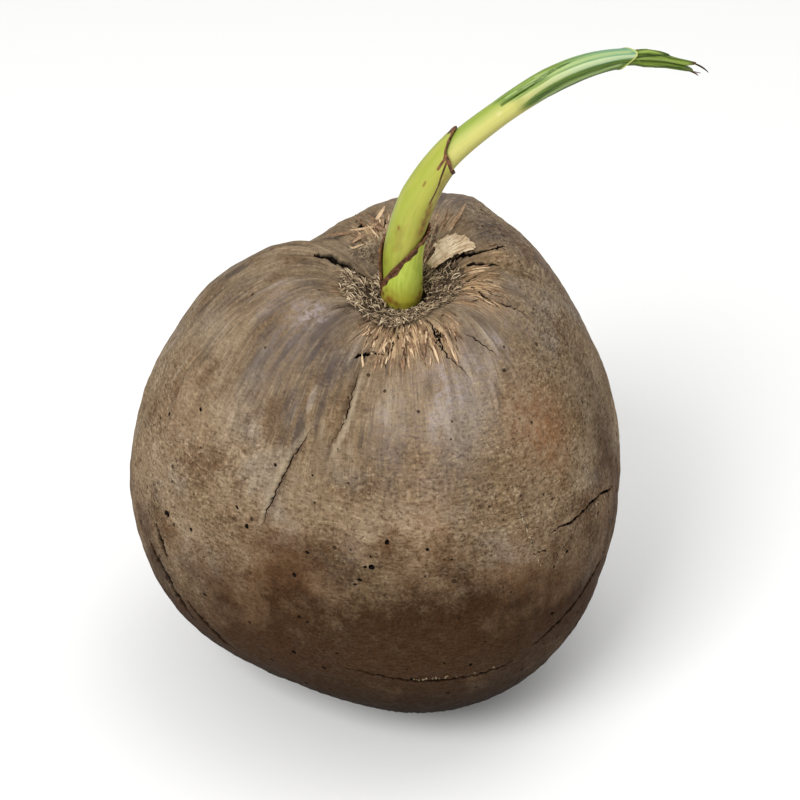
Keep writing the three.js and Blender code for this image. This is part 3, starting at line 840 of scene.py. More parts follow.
def huskMaterial(group):
    material, tree, shader = newMaterial("dryHusk", 0.78)
    place = objectPlace(tree)
    shifted = addNode(tree, "Mapping", {"Vector": place, "Location": (3, 1, 2)}).outputs[0]
    flat = addNode(tree, "Mapping", {"Vector": place, "Scale": (1, 1, 3)}).outputs[0]
    broad = fibresIn(tree, group, 9, 4, 4)
    middling = fibresIn(tree, group, 34, 8, 4, 0.6)
    fine = fibresIn(tree, group, 95, 12, 3, 0.6)
    cloud = noiseOf(tree, place, 24, 5, 0.6)
    blotch = noiseOf(tree, shifted, 46, 5, 0.65)
    grey = noiseOf(tree, shifted, 30, 4, 0.6)
    mottle = noiseOf(tree, place, 230, 4, 0.7)
    scratch = noiseOf(tree, flat, 300, 3, 0.7)
    speckle = noiseOf(tree, place, 820, 3, 0.75)
    nearTop = attributeOf(tree, "nearTop")
    crest = attributeOf(tree, "crest")

    # the plain skin, whose fine marks are weaker near the top
    plain = remapped(tree, nearTop, 0, 1, 1, 0.45)
    colour = painted(tree, "786349", (cloud, 0.38, 0.6, 1, "907d65"), (blotch, 0.5, 0.64, 0.7, "66503a"),
                     (grey, 0.52, 0.66, 0.6, "83786c"), (broad, 0.5, 0.66, 0.35, "65513e"))
    colour = painted(tree, colour,
                     (mottle, 0.5, 0.62, 0.38, "58432f"), (mottle, 0.44, 0.34, 0.26, "ab9a80"),
                     (scratch, 0.56, 0.64, 0.65, "4a3826"), (scratch, 0.42, 0.34, 0.3, "b7a68b"),
                     (speckle, 0.56, 0.64, 0.75, "3f2e1f"), (speckle, 0.42, 0.32, 0.35, "bba98d"),
                     weight=plain)
    colour = patched(tree, colour, "rust", remapped(tree, mottle, 0.35, 0.6, 0.4, 1), 0.75, 1, "845b3b")

    # the streaks near the top; painted shade in the wrinkles' troughs and a painted highlight on their
    # crests; a painted highlight on the folds' lips and a painted shadow at their feet
    colour = painted(tree, colour, (middling, 0.48, 0.6, 0.42, "564737"),
                     (fine, 0.54, 0.68, 0.32, "b7a48a"), weight=nearTop)
    colour = painted(tree, colour, (crest, -0.35, -1.2, 0.7, "4b4038"), (crest, 0.4, 1.4, 0.5, "a89a88"),
                     (attributeOf(tree, "foldHighlight"), 0.2, 1.4, 0.5, "a99a82"),
                     (attributeOf(tree, "foldShadow"), 0.3, 1.6, 0.75, "4f3b2b"))

    # the stains, the smudges and the white bloom
    stained = remapped(tree, blotch, 0.35, 0.6, 0.5, 1.1)
    colour = patched(tree, colour, "stain", stained, 0.9, 0.85, "4b3a2b")
    smudged = remapped(tree, middling, 0.38, 0.56, 0.25, 1.2)
    colour = patched(tree, colour, "smudge", smudged, 1, 0.85, "544a45")
    breaks = remapped(tree, maths(tree, "ADD", mottle, scratch), 0.9, 1.12, 0.15, 1)
    breaks = maths(tree, "MULTIPLY", breaks, remapped(tree, blotch, 0.42, 0.56, 0.45, 1.15))
    onCrests = remapped(tree, crest, -0.5, 0.6, 0.35, 1)
    bloom = maths(tree, "MULTIPLY", maths(tree, "MULTIPLY", attributeOf(tree, "bloom"), onCrests), breaks)
    colour = mixed(tree, coverage(tree, bloom, 1, 0.8), colour, "a0938f")

    # the torn fibres, the crust and the coir
    tornColour, crustColour = tornAndCrust(tree, middling, fine, maths(tree, "ADD", mottle, speckle))
    frayed = remapped(tree, middling, 0.36, 0.54, 0.35, 1.2)
    colour = patched(tree, colour, "torn", frayed, 1, 0.9, tornColour)
    colour = covered(tree, colour, ("crust", 0.9, crustColour))
    coirColour = painted(tree, "2a2019", (speckle, 0.42, 0.58, 1, "5d4e3e"))
    colour = mixed(tree, attributeOf(tree, "coir"), colour, coirColour)

    # painted shade: the lower half darker towards the bottom, and darkest underneath
    uneven = maths(tree, "SUBTRACT", blotch, 0.5)
    ragged = maths(tree, "MULTIPLY_ADD", uneven, 1.5, attributeOf(tree, "lowShade"))
    colour = painted(tree, colour, (ragged, 0.1, 0.5, 0.5, "6c4b2d"),
                     weight=remapped(tree, cloud, 0.42, 0.58))
    colour = painted(tree, colour, (ragged, 0.12, 0.88, 1, "2e1a08"),
                     weight=remapped(tree, scratch, 0.35, 0.6, 1, 0.84))
    colour = covered(tree, colour, ("underShade", 0.95, "120801"))

    # the light and dark grain, the dots, and painted shade deep in the cuts and pits
    grain = maths(tree, "ADD", speckle, maths(tree, "MULTIPLY", scratch, 0.8))
    rough = maths(tree, "MULTIPLY", plain, remapped(tree, blotch, 0.42, 0.6, 0.6, 1.5))
    light = maths(tree, "MULTIPLY_ADD", remapped(tree, grain, 0.72, 1.08, 0.24, -0.24), rough, 1)
    colour = mixed(tree, 1, colour, light, "MULTIPLY")
    cells = addNode(tree, "TexVoronoi", {"Vector": shifted, "Scale": 150.0}).outputs
    chance = addNode(tree, "SeparateColor", {0: cells["Color"]}).outputs[0]
    dotSize = maths(tree, "MULTIPLY", maths(tree, "POWER", chance, 3), 0.16)
    dots = maths(tree, "SUBTRACT", cells["Distance"], dotSize)
    colour = painted(tree, colour, (dots, 0.015, -0.012, 0.85, "2b1e13"),
                     (attributeOf(tree, "cutDepth"), 0.0, 0.25, 1, "0f0a06"))
    linkLook(tree, shader, colour, 0.07)
    height = maths(tree, "MULTIPLY", mottle, 0.35)
    height = maths(tree, "MULTIPLY_ADD", fine, maths(tree, "MULTIPLY", nearTop, 0.6), height)
    height = maths(tree, "MULTIPLY_ADD", scratch, 0.6, height)
    linkBump(tree, shader, maths(tree, "MULTIPLY_ADD", speckle, 0.5, height), 0.7, 0.0009)
    tree.links.new(remapped(tree, mottle, 0.3, 0.7, 0.66, 0.88), shader.inputs["Roughness"])
    return material


fibres = fibreGroup()
huskSkinPiece = addHuskSkin()
markHusk(huskSkinPiece)
smoothUpTo(huskSkinPiece, 50)
finished(huskSkinPiece, huskMaterial(fibres), "dry_husk", "husk")
huskSkinPiece.data.calc_loop_triangles()
print("husk skin:", len(huskSkinPiece.data.loop_triangles), "triangles")


# Loose coir: the mat round the shoot's foot, torn splinters, long strands, crumbs and the flake

coirMat = {"count": 1900, "inner": 9.8, "beyond": 0.8, "length": (1.6, 6), "width": (0.26, 0.7),
           "lift": (0.3, 2.1), "arch": 0.4, "radialShare": 0.25, "radialSpread": 0.35, "shade": (0.5, 0.27),
           "darkSide": (5, 0.45, 0.22)}
splinters = {"count": 430, "length": (4, 12), "width": (0.3, 0.95), "height": (0.15, 0.35), "spread": 0.16}
clearGap = 1.5
innerTorn = {"count": 110,
             "patches": [(64, 22, 9, 6, 1), (88, 24, 8, 8, 0.8), (20, 20, 5, 6, 0.5), (250, 25, 4, 8, 0.4)]}
# Crumbs lie along lines from one azimuth and arc to another, spread to both sides
crumbs = {"count": 420, "length": (0.7, 2.2), "width": (0.4, 1),
          "paths": [((310, 121), (333, 121), 0.9), ((333, 121), (348, 128), 1.1),
                    ((268, 178), (300, 179), 0.8), ((306, 173), (326, 158), 0.8),
                    ((301, 106), (306, 132), 1.5), ((50, 20), (106, 22), 6), ((60, 30), (112, 32), 6),
                    ((66, 26), (100, 28), 8), ((112, 30), (140, 30), 6), ((20, 22), (50, 24), 5)]}
# Long strands: azimuth, arc, turn from the way down and rise in degrees, length and width
longStrands = [
    (57, 33, -4, 10, 16, 1.7), (60, 31, 8, 16, 13, 1.0), (106, 38, 100, 14, 13, 1.9),
    (100, 33, 70, 24, 9, 1.4), (112, 36, 20, 18, 10, 1.2), (68, 34, 150, 26, 9, 1.3),
    (121, 40, 80, 12, 12, 2.4), (108, 41, -60, 20, 8, 2), (116, 36, 120, 8, 10, 1.8),
    (104, 36, 30, 12, 9, 1.6), (142, 33, -120, 16, 10, 1.5), (300, 30, -20, 18, 9, 1.3),
    (322, 31, 15, 12, 8, 1.2),
]
flakeForm = {
    "outline": [(55, 30.8), (50, 34), (44, 35), (36.5, 36.4), (29, 34.7), (32, 31), (34, 27), (34.6, 18.5),
                (43, 17), (50, 18.5), (50.5, 22.5), (58, 25.5)],
    "thickness": 0.7,
    "lift": (2.2, 2.2),
    "liftReach": 8,
    "ragged": [(0.05, 13, 0), (0.04, 29, 1)],
    "bump": 0.35,
    "segments": 108,
    "rings": 24,
}


def clearOfSplits(azimuth, arc):
    # whether places are far enough from every split for it to be seen
    spots = placeOnSkin(azimuth, arc)
    clear = np.full(len(spots), True)
    for path, _, _ in splits:
        for point in pathOnSkin(path, splitCut["spacing"]):
            clear &= np.linalg.norm(spots - point, axis=1) > clearGap
    return clear


def skinFrame(azimuth, arc):
    # places on the skin, with the ways out of it, down along the fibres and across them
    place = placeOnSkin(azimuth, arc)
    out = skinNormals(place)
    down = placeOnSkin(azimuth, np.asarray(arc, float) + 1) - place
    down = unit(down - out * np.sum(down * out, -1, keepdims=True))
    return place, out, down, np.cross(out, down)


def addStrands(name, rings, start, middle, end, up, width, height, shade):
    # many tapered strands as one piece, each a copy of one small sphere drawn out along a bent line
    piece = newSphere(name, 4, rings)
    template = meshPoints(piece)
    copies = piece.modifiers.new("copies", "ARRAY")
    copies.count = len(start)
    applyModifiers(piece)
    turn = np.arctan2(template[:, 1], template[:, 0])
    flat = np.hypot(template[:, 0], template[:, 1])
    share = (np.arctan2(flat, template[:, 2]) / math.pi)[None, :, None]
    girth = np.abs(np.sin(math.pi * share[0, :, 0])) ** 0.6
    control = 2 * middle - (start + end) / 2
    line = (start[:, None] * (1 - share) ** 2 + control[:, None] * 2 * share * (1 - share)
            + end[:, None] * share ** 2)
    forward = unit(end - start)
    side = unit(np.cross(forward, up))
    above = np.cross(side, forward)
    wide = side[:, None] * (np.cos(turn) * girth)[None, :, None] * (width / 2)[:, None, None]
    high = above[:, None] * (np.sin(turn) * girth)[None, :, None] * (height / 2)[:, None, None]
    setPoints(piece, (line + wide + high).reshape(-1, 3) * millimetre)
    setAttribute(piece, "shade", np.repeat(shade, len(template)))
    smoothUpTo(piece, 60)
    return piece


def strandsOnSkin(name, rings, azimuth, arc, heading, reach, lifts, width, height, shade):
    # strands that follow the skin from end to end, lifted off it at the start, middle and end; those
    # over a split are left out
    kept = clearOfSplits(azimuth, arc)
    azimuth, arc, heading, reach = azimuth[kept], arc[kept], heading[kept], reach[kept]
    places = []
    for share, lift in zip((-0.5, 0, 0.5), lifts):
        along = np.maximum(arc + share * reach * np.cos(heading), coirMat["inner"])
        turn = np.degrees(share * reach * np.sin(heading) / np.maximum(arc, coirMat["inner"]))
        spot = placeOnSkin(azimuth + turn, along)
        places.append(spot + skinNormals(spot) * lift[kept][:, None])
    up = skinNormals(places[1])
    return addStrands(name, rings, *places, up, width[kept], height[kept], shade[kept])


def addCoirMat():
    # the fibres round the shoot's foot: most lie any way round, and some point away from it
    draw = np.random.default_rng(31)
    count = coirMat["count"]
    azimuth = draw.uniform(0, 360, count)
    outer = coirEdgeAt(azimuth) + coirMat["beyond"]
    arc = np.sqrt(draw.uniform(0, 1, count) * (outer ** 2 - coirMat["inner"] ** 2) + coirMat["inner"] ** 2)
    radial = draw.uniform(0, 1, count) < coirMat["radialShare"]
    heading = np.where(radial, draw.normal(0, coirMat["radialSpread"], count),
                       draw.uniform(-math.pi, math.pi, count))
    lifts = [draw.uniform(*coirMat["lift"], count) for _ in range(3)]
    lifts[1] += coirMat["arch"]
    width = draw.uniform(*coirMat["width"], count)
    darkSide, darkWidth, darkening = coirMat["darkSide"]
    darker = darkening * bell(np.sin(np.radians(azimuth - darkSide) / 2) / darkWidth)
    shade = np.clip(draw.normal(*coirMat["shade"], count) - darker, 0, 1)
    return strandsOnSkin("coir_mat", 5, azimuth, arc, heading, draw.uniform(*coirMat["length"], count),
                         lifts, width, width * 0.8, shade)


def addSplinters(name, patches, count, seed, lowest):
    # torn fibres inside patches, none of them higher on the skin than the lowest arc allowed
    draw = np.random.default_rng(seed)
    centres = np.array(patches, float)
    weights = centres[:, 2] * centres[:, 3] * centres[:, 4]
    chosen = centres[draw.choice(len(centres), count, p=weights / weights.sum())]
    scatter = 0.52
    arc = chosen[:, 1] + np.clip(draw.normal(0, scatter, count), -1.2, 1.2) * chosen[:, 2]
    aside = np.clip(draw.normal(0, scatter, count), -1, 1) * chosen[:, 3]
    azimuth = chosen[:, 0] + np.degrees(aside / chosen[:, 1])
    arc = np.maximum(arc, lowest(azimuth))
    heading = draw.normal(0, splinters["spread"], count)
    reach = draw.uniform(*splinters["length"], count) * draw.uniform(0.6, 1, count)
    loose = draw.uniform(0, 1, count) ** 3
    lifts = [0.1 + 1.3 * loose, draw.uniform(0.05, 0.35, count), draw.uniform(-0.3, 0.15, count)]
    width = draw.uniform(*splinters["width"], count)
    shade = np.clip(draw.normal(0.5, 0.28, count), 0, 1)
    return strandsOnSkin(name, 5, azimuth, arc, heading, reach, lifts, width,
                         draw.uniform(*splinters["height"], count), shade)


def addLongStrands():
    # single fibres that rise off the skin, each a curve through its start, middle and end
    start, middle, end, up = [], [], [], []
    for azimuth, arc, turn, rise, length, _ in longStrands:
        place, out, down, around = skinFrame(azimuth, arc)
        way = down * math.cos(math.radians(turn)) + around * math.sin(math.radians(turn))
        lift = length * math.tan(math.radians(rise))
        start.append(place - out * 0.5)
        middle.append(place + way * length / 2 + out * lift * 0.25)
        end.append(place + way * length + out * lift)
        up.append(out)
    width = np.array([strand[-1] for strand in longStrands])
    shade = 0.15 + 0.75 * ((0.6 + np.arange(len(longStrands)) * 0.618) % 1)
    return addStrands("long_strands", 12, *(np.array(part) for part in (start, middle, end, up)), width,
                      width * 0.45, shade)


def addCrumbs():
    # the short pale bits that stand in the ragged splits
    draw = np.random.default_rng(35)
    count = crumbs["count"]
    chosen = draw.integers(0, len(crumbs["paths"]), count)
    first, last, spread = (np.array(part, float)[chosen] for part in zip(*crumbs["paths"]))
    spots = first + (last - first) * draw.uniform(0, 1, (count, 1))
    arc = spots[:, 1] + draw.normal(0, 0.5, count) * spread
    lifts = [draw.uniform(-0.2, 0.4, count) for _ in range(3)]
    width = draw.uniform(*crumbs["width"], count)
    return strandsOnSkin("crumbs", 4, spots[:, 0], arc, draw.uniform(-math.pi, math.pi, count),
                         draw.uniform(*crumbs["length"], count), lifts, width, width * 0.7,
                         draw.uniform(0, 0.85, count))


def addFlake():
    # a thin closed plate over an outline on the skin, lifted most on the side by the shoot
    form = flakeForm
    outline = np.array(form["outline"], float)
    centre = outline.mean(axis=0)
    across = np.radians(outline[:, 0] - centre[0]) * centre[1]
    along = outline[:, 1] - centre[1]
    bearing = np.degrees(np.arctan2(along, across)) % 360
    order = np.argsort(bearing)
    piece = newSphere("papery_flake", form["segments"], form["rings"])
    points = meshPoints(piece)
    turn = np.degrees(np.arctan2(points[:, 1], points[:, 0])) % 360
    reach = np.hypot(points[:, 0], points[:, 1])
    ragged = 1
    for depth, count, phase in form["ragged"]:
        ragged = ragged + depth * np.sin(np.radians(turn) * count + phase)
    east, south = (np.interp(turn, bearing[order], way[order], period=360) * reach * ragged
                   for way in (across, along))
    spot = placeOnSkin(centre[0] + np.degrees(east / centre[1]), centre[1] + south)
    base, rise = form["lift"]
    bumps = form["bump"] * waves(np.stack([east, south, 0 * east], -1), 6, 36) * reach ** 2
    raised = base + rise * np.clip(-south / form["liftReach"], -0.6, 1) + bumps
    half = form["thickness"] / 2 * np.sign(points[:, 2]) * np.abs(points[:, 2]) ** 0.5
    setPoints(piece, (spot + skinNormals(spot) * (raised + half)[:, None]) * millimetre)
    faceOutward(piece)
    return piece


def strandMaterial(name, dark, middle, light):
    material, tree, shader = newMaterial(name, 0.8)
    grain = remapped(tree, noiseOf(tree, objectPlace(tree), 900, 2), 0.3, 0.7, -0.18, 0.18)
    value = maths(tree, "ADD", attributeOf(tree, "shade"), grain)
    colour = painted(tree, dark, (value, 0.05, 0.5, 1, middle), (value, 0.5, 0.95, 1, light))
    linkLook(tree, shader, colour, 0.15)
    return material


def flakeMaterial(group):
    material, tree, shader = newMaterial("paperyFlake", 0.75)
    place = objectPlace(tree)
    lines = fibresIn(tree, group, 60, 10, 3, 0.6)
    cloud = noiseOf(tree, place, 160, 4, 0.6)
    grain = noiseOf(tree, place, 700, 3, 0.7)
    colour = painted(tree, "c2a785", (cloud, 0.36, 0.6, 1, "ecd7b6"), (lines, 0.52, 0.6, 0.75, "8d7252"),
                     (grain, 0.55, 0.68, 0.7, "7b6247"))
    linkLook(tree, shader, colour, 0.15)
    linkBump(tree, shader, cloud, 0.6, 0.0006)
    return material


tornLook = strandMaterial("tornFibres", "4a3625", "93745a", "d0b591")
for piece, look in (
    (addCoirMat(), strandMaterial("coirStrands", "33271c", "9c856a", "dac7a8")),
    (addSplinters("torn_splinters", huskPatches["torn"], splinters["count"], 32, coirEdgeAt), tornLook),
    (addSplinters("inner_splinters", innerTorn["patches"], innerTorn["count"], 33,
                  lambda azimuth: coirMat["inner"]), tornLook),
    (addLongStrands(), tornLook),
    (addCrumbs(), strandMaterial("crumbs", "4f4031", "80705a", "a8987c")),
    (addFlake(), flakeMaterial(fibres)),
):
    finished(piece, look, "dry_husk")
print("coir, splinters, strands, crumbs and flake")


# The shoot's line, and points beside it

shootForm = {
    "line": [(-0.2, 0, 177.5), (-0.8, 0, 196), (0, 0.1, 214.3), (6.4, 0.5, 235.7), (18, 1.6, 254),
             (37.6, 3.3, 271.1), (55.8, 4.8, 283.2), (74, 6.5, 290.4), (92.5, 8.5, 291.7),
             (112.9, 12, 286.4)],
    "spacing": 0.5,
}
shootLine, shootLength = lineAlong([np.array(p, float) for p in shootForm["line"]], shootForm["spacing"])
shootAlong = unit(np.gradient(shootLine, axis=0))


def shootPoints(distance, side, radius, flatShare=1.0):
    held = np.clip(distance, 0, shootLength)
    share = held / shootLength * (len(shootLine) - 1)
    index = np.arange(len(shootLine))
    middle, along = (np.stack([np.interp(share, index, line[:, axis]) for axis in range(3)], -1)
                     for line in (shootLine, shootAlong))
    along = unit(along)
    back = unit(np.array([0, 1, 0]) - along * along[:, 1:2])
    right = np.cross(back, along)
    turn = np.radians(side)
    return (middle + right * (radius * np.cos(turn))[:, None]
            + back * (radius * flatShare * np.sin(turn))[:, None] + along * (distance - held)[:, None])


def toMouth(form, distance, side):
    return tableAt(form["mouth"], side % 360) - distance


def addShell(name, form, radiusAt):
    # a wall round the shoot: a ring of sections that go out along its outer face, over the
    # rounded mouth and back along the inner face
    rows, sides, start, wall = (form[key] for key in ("rows", "sides", "start", "wall"))
    piece = newPiece(name, bpy.ops.mesh.primitive_torus_add, major_segments=sides, minor_segments=rows,
                     major_radius=2, minor_radius=1)
    points = meshPoints(piece)
    out = np.hypot(points[:, 0], points[:, 1]) - 2
    side = np.round(np.degrees(np.arctan2(points[:, 1], points[:, 0])) / 360 * sides) / sides * 360 % 360
    turn = np.round(np.degrees(np.arctan2(points[:, 2], out)) / 360 * rows) / rows * 360 % 360
    # the section's angle runs from the foot's outside, up to the mouth and down inside
    section = (turn + 90) % 360 / 180
    goingUp = section <= 1
    share = np.where(goingUp, section, 2 - section)
    height = toMouth(form, start, side)
    rim = np.clip((1 - share) * height / (wall * 0.5), 0, 1)
    share = 0.5 * share + 0.5 * np.sin(share * math.pi / 2)
    distance = start + height * share
    middle = radiusAt(distance, side) - wall / 2
    half = wall / 2 * np.sqrt(np.clip(1 - (1 - rim) ** 2, 0, 1))
    radius = middle + np.where(goingUp, half, -half)
    setPoints(piece, shootPoints(distance, side, radius) * millimetre)
    faceOutward(piece)
    return piece, distance, side, goingUp


# The shoot's pieces: places on it are a distance along its line and a side round it, which is 0 at
# the right, 90 at the back, 180 at the left and 270 in front

scaleLeaf = {
    "start": 0.5, "radius": 8.65, "measured": 8.65, "wall": 0.9, "rows": 160, "sides": 120,
    "mouth": [(0, 47), (60, 49), (110, 42), (150, 36), (170, 34), (184, 31), (194, 25.5), (201, 20),
              (222, 24.5), (248, 30), (266, 33.5), (284, 37.5), (304, 41), (320, 43.5), (340, 45.5),
              (360, 47)],
    "margin": 3.8, "flare": 0.6, "crimp": 0.2, "crimps": 23,
    "tuck": (15, 6, 1.2),
    "driedFrom": 1.25,
    "driedStrokes": [([(34, 180), (26, 187), (20, 193), (14, 184)], 2.3)],
    "rusty": [([(place, side), (place + 0.1, side)], size, strength) for place, side, size, strength in (
        (16.5, 214, 2, 0.95), (15, 234, 2.7, 0.95), (14.2, 256, 1.8, 0.9), (18.5, 224, 1.2, 0.7),
        (16.5, 330, 1.4, 0.95), (14.5, 318, 1.8, 0.9), (20, 340, 1, 0.7), (13.5, 290, 1.1, 0.6))],
}
sheathForm = {
    "start": 0.5, "wall": 0.8, "measured": 7, "rows": 300, "sides": 128,
    "mouth": [(0, 76.5), (45, 76), (90, 77), (135, 82), (166, 90.5), (180, 91), (195, 89), (210, 87),
              (238, 82.5), (258, 81.5), (272, 81), (296, 79), (318, 77.5), (360, 76.5)],
    "radii": [(0, 7.4), (30, 7.45), (47, 7.5), (59, 7.5), (67, 6.95), (75, 6.6), (92, 6.3)],
    "margin": 1.5, "flare": 0.3, "crimp": 0.12, "crimps": 19,
    "seam": [(60, 297), (66, 298), (69.5, 294), (76, 276), (81.5, 258)],
    "seamRise": 0.35,
    "flap": (60, 56, 8),
    "driedFrom": 1.1,
    "driedStrokes": [([(92, 173), (88.5, 172)], 2.6),
                     ([(87, 210), (84.5, 224), (82.5, 238), (80, 252), (75.5, 257)], 0.65),
                     ([(61, 298), (66, 298), (69.5, 294), (76, 276), (81.5, 258)], 0.55)],
    "rusty": [([(60.5, 306), (52, 310), (45.5, 312)], 1.1, 0.8), ([(75, 292), (66, 316)], 1.2, 0.4),
              ([(46.5, 236), (47, 236)], 0.9, 0.9), ([(68.6, 249), (66.8, 250)], 0.28, 1),
              ([(38, 246), (46, 240)], 2.2, 0.3), ([(30, 205), (36, 200)], 1.3, 0.35)],
}
firstLeaf = {
    "start": 1, "end": 161, "foldDepth": 0.06, "folds": 5, "rings": 400, "sides": 128,
    "radii": [(0, 6.1), (47, 6.2), (59, 6.1), (67, 5.7), (75, 5.4), (86, 5.35), (107, 5.05),
              (118, 5.25), (129, 5.6), (139, 5.4), (149, 4.9), (158, 4.3), (165, 4.15)],
    "flatStart": 95, "flatEnd": 130, "flatShare": 0.76, "pocketDepth": 26, "gap": 0.3,
    "lip": {"low": 157.2, "rise": 7.2, "side": 225, "sharp": 2.5},
    "bladeStart": [(0, 124), (150, 108), (180, 104), (222, 109), (250, 113), (300, 111), (338, 118),
                   (360, 124)],
    "bladeFade": [(0, 14), (180, 6), (222, 4), (260, 8), (300, 10), (360, 14)],
    "ribTop": [(104, 246), (116, 246), (126, 246), (131, 240), (139, 236), (145, 234), (152.5, 232),
               (162, 232)],
    "ribLow": [(104, 308), (112, 296), (117, 284), (124, 270), (129.5, 264), (137.5, 260), (144, 258),
               (150, 256), (155.5, 250), (162, 246)],
    "ribRise": 0.35, "ribGroove": (0.5, 9), "bladeStep": 6, "lipRise": (0.25, 0.8), "slantReach": 30,
    "measured": 5.2,
    "slits": [([(110, 220), (116.5, 224), (123, 226), (127, 226), (133.5, 208), (139, 200)], 0.4),
              ([(110, 226), (115.5, 226), (120.5, 230), (127.5, 218)], 0.35),
              ([(118, 208), (126, 214), (133, 200)], 0.3)],
    "slitDepth": 0.8,
    "stripe": ([(118, 330), (126, 306), (134, 300), (142, 298), (150, 296), (157.5, 284)], 0.7),
    "topStripes": [([(121, 214), (132, 226), (145, 218), (158, 214)], 0.7),
                   ([(126, 196), (138, 212), (150, 206), (160, 204)], 0.5),
                   ([(113, 204), (124, 212), (130, 214)], 0.5)],
    "fleck": ([(107, 250), (108, 250)], 0.7),
}
spearLeaf = {
    "start": 136, "end": 189, "folds": 3, "foldDepth": 0.14, "foldedFrom": (163, 8), "flatShare": 0.76,
    "rings": 130, "sides": 96,
    "measured": 2.9,
    "radii": [(130, 2.5), (150, 2.7), (164, 2.9), (168, 3.6), (173, 3.4), (177, 2.8), (189, 2.2)],
    "grooves": [([(164.5, 242), (171, 224), (177, 190), (184, 162)], 0.5),
                ([(166, 272), (178, 268), (188, 266)], 0.4),
                ([(172, 326), (181.5, 302), (190.5, 340)], 0.5)],
    "grooveDepth": 0.55,
    "pale": [([(163, 252), (172, 246), (180, 238), (188, 232)], 0.5),
             ([(165, 200), (172, 204), (179, 200)], 0.4)],
    "fold": ([(163, 160), (169, 186), (176.5, 180)], 0.9), "foldRise": 0.6,
    "notchDepth": 6, "notchWidth": 2.6,
}
# Dried threads at the torn end: places along the shoot, side and reach from its line, and width
tornThreads = [
    [(185, 180, 1.6), (190.5, 200, 1.0), (194.6, 290, 2.0), 0.75],
    [(186, 186, 1.9), (190, 215, 1.7), (192.5, 250, 1.4), 0.5],
    [(186, 350, 1.9), (189.5, 352, 2.4), (191.6, 356, 3.4), 0.6],
    [(187, 330, 1.6), (190, 336, 1.9), (192, 330, 1.9), 0.4],
]


def turnsFrom(side, other):
    return (side - other + 180) % 360 - 180


def strokeGap(path, distance, side, radius):
    # how far places on the shoot are from a line drawn on it, in millimetres
    nearest = np.full(len(distance), 1e9)
    for (fromPlace, fromSide), (toPlace, toSide) in zip(path, path[1:]):
        along = distance - fromPlace
        around = np.radians(turnsFrom(side, fromSide)) * radius
        stepAlong = toPlace - fromPlace
        stepAround = math.radians(turnsFrom(toSide, fromSide)) * radius
        length = stepAlong ** 2 + stepAround ** 2
        share = np.clip((along * stepAlong + around * stepAround) / length, 0, 1)
        gap = np.hypot(along - share * stepAlong, around - share * stepAround)
        nearest = np.minimum(nearest, gap)
    return nearest


def strokeMask(stroke, distance, side, radius):
    path, width = stroke
    return bell(strokeGap(path, distance, side, radius) / width)


def strokesMask(strokes, distance, side, radius):
    return np.clip(sum(strokeMask(stroke, distance, side, radius) for stroke in strokes), 0, 1)


def markShoot(piece, distance, side):
    setAttribute(piece, "distance", distance)
    setAttribute(piece, "sideCos", np.cos(np.radians(side)))
    setAttribute(piece, "sideSin", np.sin(np.radians(side)))


def marginRise(form, distance, side):
    # the dried margin stands out a little, and is crimped
    margin = ease(1 - toMouth(form, distance, side) / form["margin"])
    crimps = np.sin(np.radians(side) * form["crimps"] + 2 * np.sin(np.radians(side) * 4))
    return margin * (form["flare"] + form["crimp"] * crimps)


def markShell(piece, form, hillSize, seed, distance, side, goingUp):
    # the dried margin and strokes, the whole inner face as dried, and the rusty marks
    markShoot(piece, distance, side)
    turn, radius = np.radians(side), form["measured"]
    places = np.stack([np.cos(turn) * radius, np.sin(turn) * radius, distance], -1)
    uneven = waves(places, hillSize, seed)
    shareToMouth = toMouth(form, distance, side) / form["margin"]
    dried = ease((form["driedFrom"] - shareToMouth) * 2.2 + 0.4 * uneven)
    for stroke in form["driedStrokes"]:
        dried = np.maximum(dried, strokeMask(stroke, distance, side, radius))
    setAttribute(piece, "dried", np.where(goingUp, dried, 1))
    rusty = np.zeros(len(distance))
    for path, width, strength in form["rusty"]:
        gap = strokeGap(path, distance, side, radius) / (width * (1 + 0.35 * uneven))
        rusty = np.maximum(rusty, strength * bell(gap))
    setAttribute(piece, "rusty", rusty)


def addScaleLeaf():
    form = scaleLeaf
    tuckStart, tuckReach, tuckDepth = form["tuck"]

    def radiusAt(distance, side):
        tucked = tuckDepth * ease((tuckStart - distance) / tuckReach)
        return form["radius"] - tucked + marginRise(form, distance, side)

    leaf, *places = addShell("scale_leaf_skin", form, radiusAt)
    markShell(leaf, form, 5, 41, *places)
    return leaf


def addSheath():
    # the left side laps over the right one along the seam
    form = sheathForm
    flapWidth, flapStart, flapReach = form["flap"]

    def radiusAt(distance, side):
        pastSeam = turnsFrom(side, tableAt(form["seam"], distance))
        flap = (pastSeam < 0) * bell(pastSeam / flapWidth) * ease((distance - flapStart) / flapReach)
        return (tableAt(form["radii"], distance) + form["seamRise"] * flap
                + marginRise(form, distance, side))

    sheath, *places = addShell("sheath_skin", form, radiusAt)
    markShell(sheath, form, 4, 42, *places)
    return sheath


def leafFlatness(form, distance):
    # how thick the shoot is for its width: round in the stalk, and flatter in the leaf
    start, end = form.get("flatStart", -2), form.get("flatEnd", -1)
    return 1 - (1 - form["flatShare"]) * ease((distance - start) / (end - start))


def foldAt(form, side, share):
    # the shallow folds that run along a rolled leaf
    return 1 - form["foldDepth"] * share * (0.5 + 0.5 * np.cos(np.radians(form["folds"] * (side - 270))))


def ribShare(form, distance, side):
    # 1 between the midrib's two edges, fading out over a few degrees
    top = turnsFrom(side, tableAt(form["ribTop"], distance))
    low = turnsFrom(tableAt(form["ribLow"], distance), side)
    return ease(top / 6 + 0.5) * ease(low / 6 + 0.5)


def lipAt(side):
    # how far along the shoot the first leaf's end is, highest on one side
    lip = firstLeaf["lip"]
    return lip["low"] + lip["rise"] * ((1 + np.cos(np.radians(side - lip["side"]))) / 2) ** lip["sharp"]


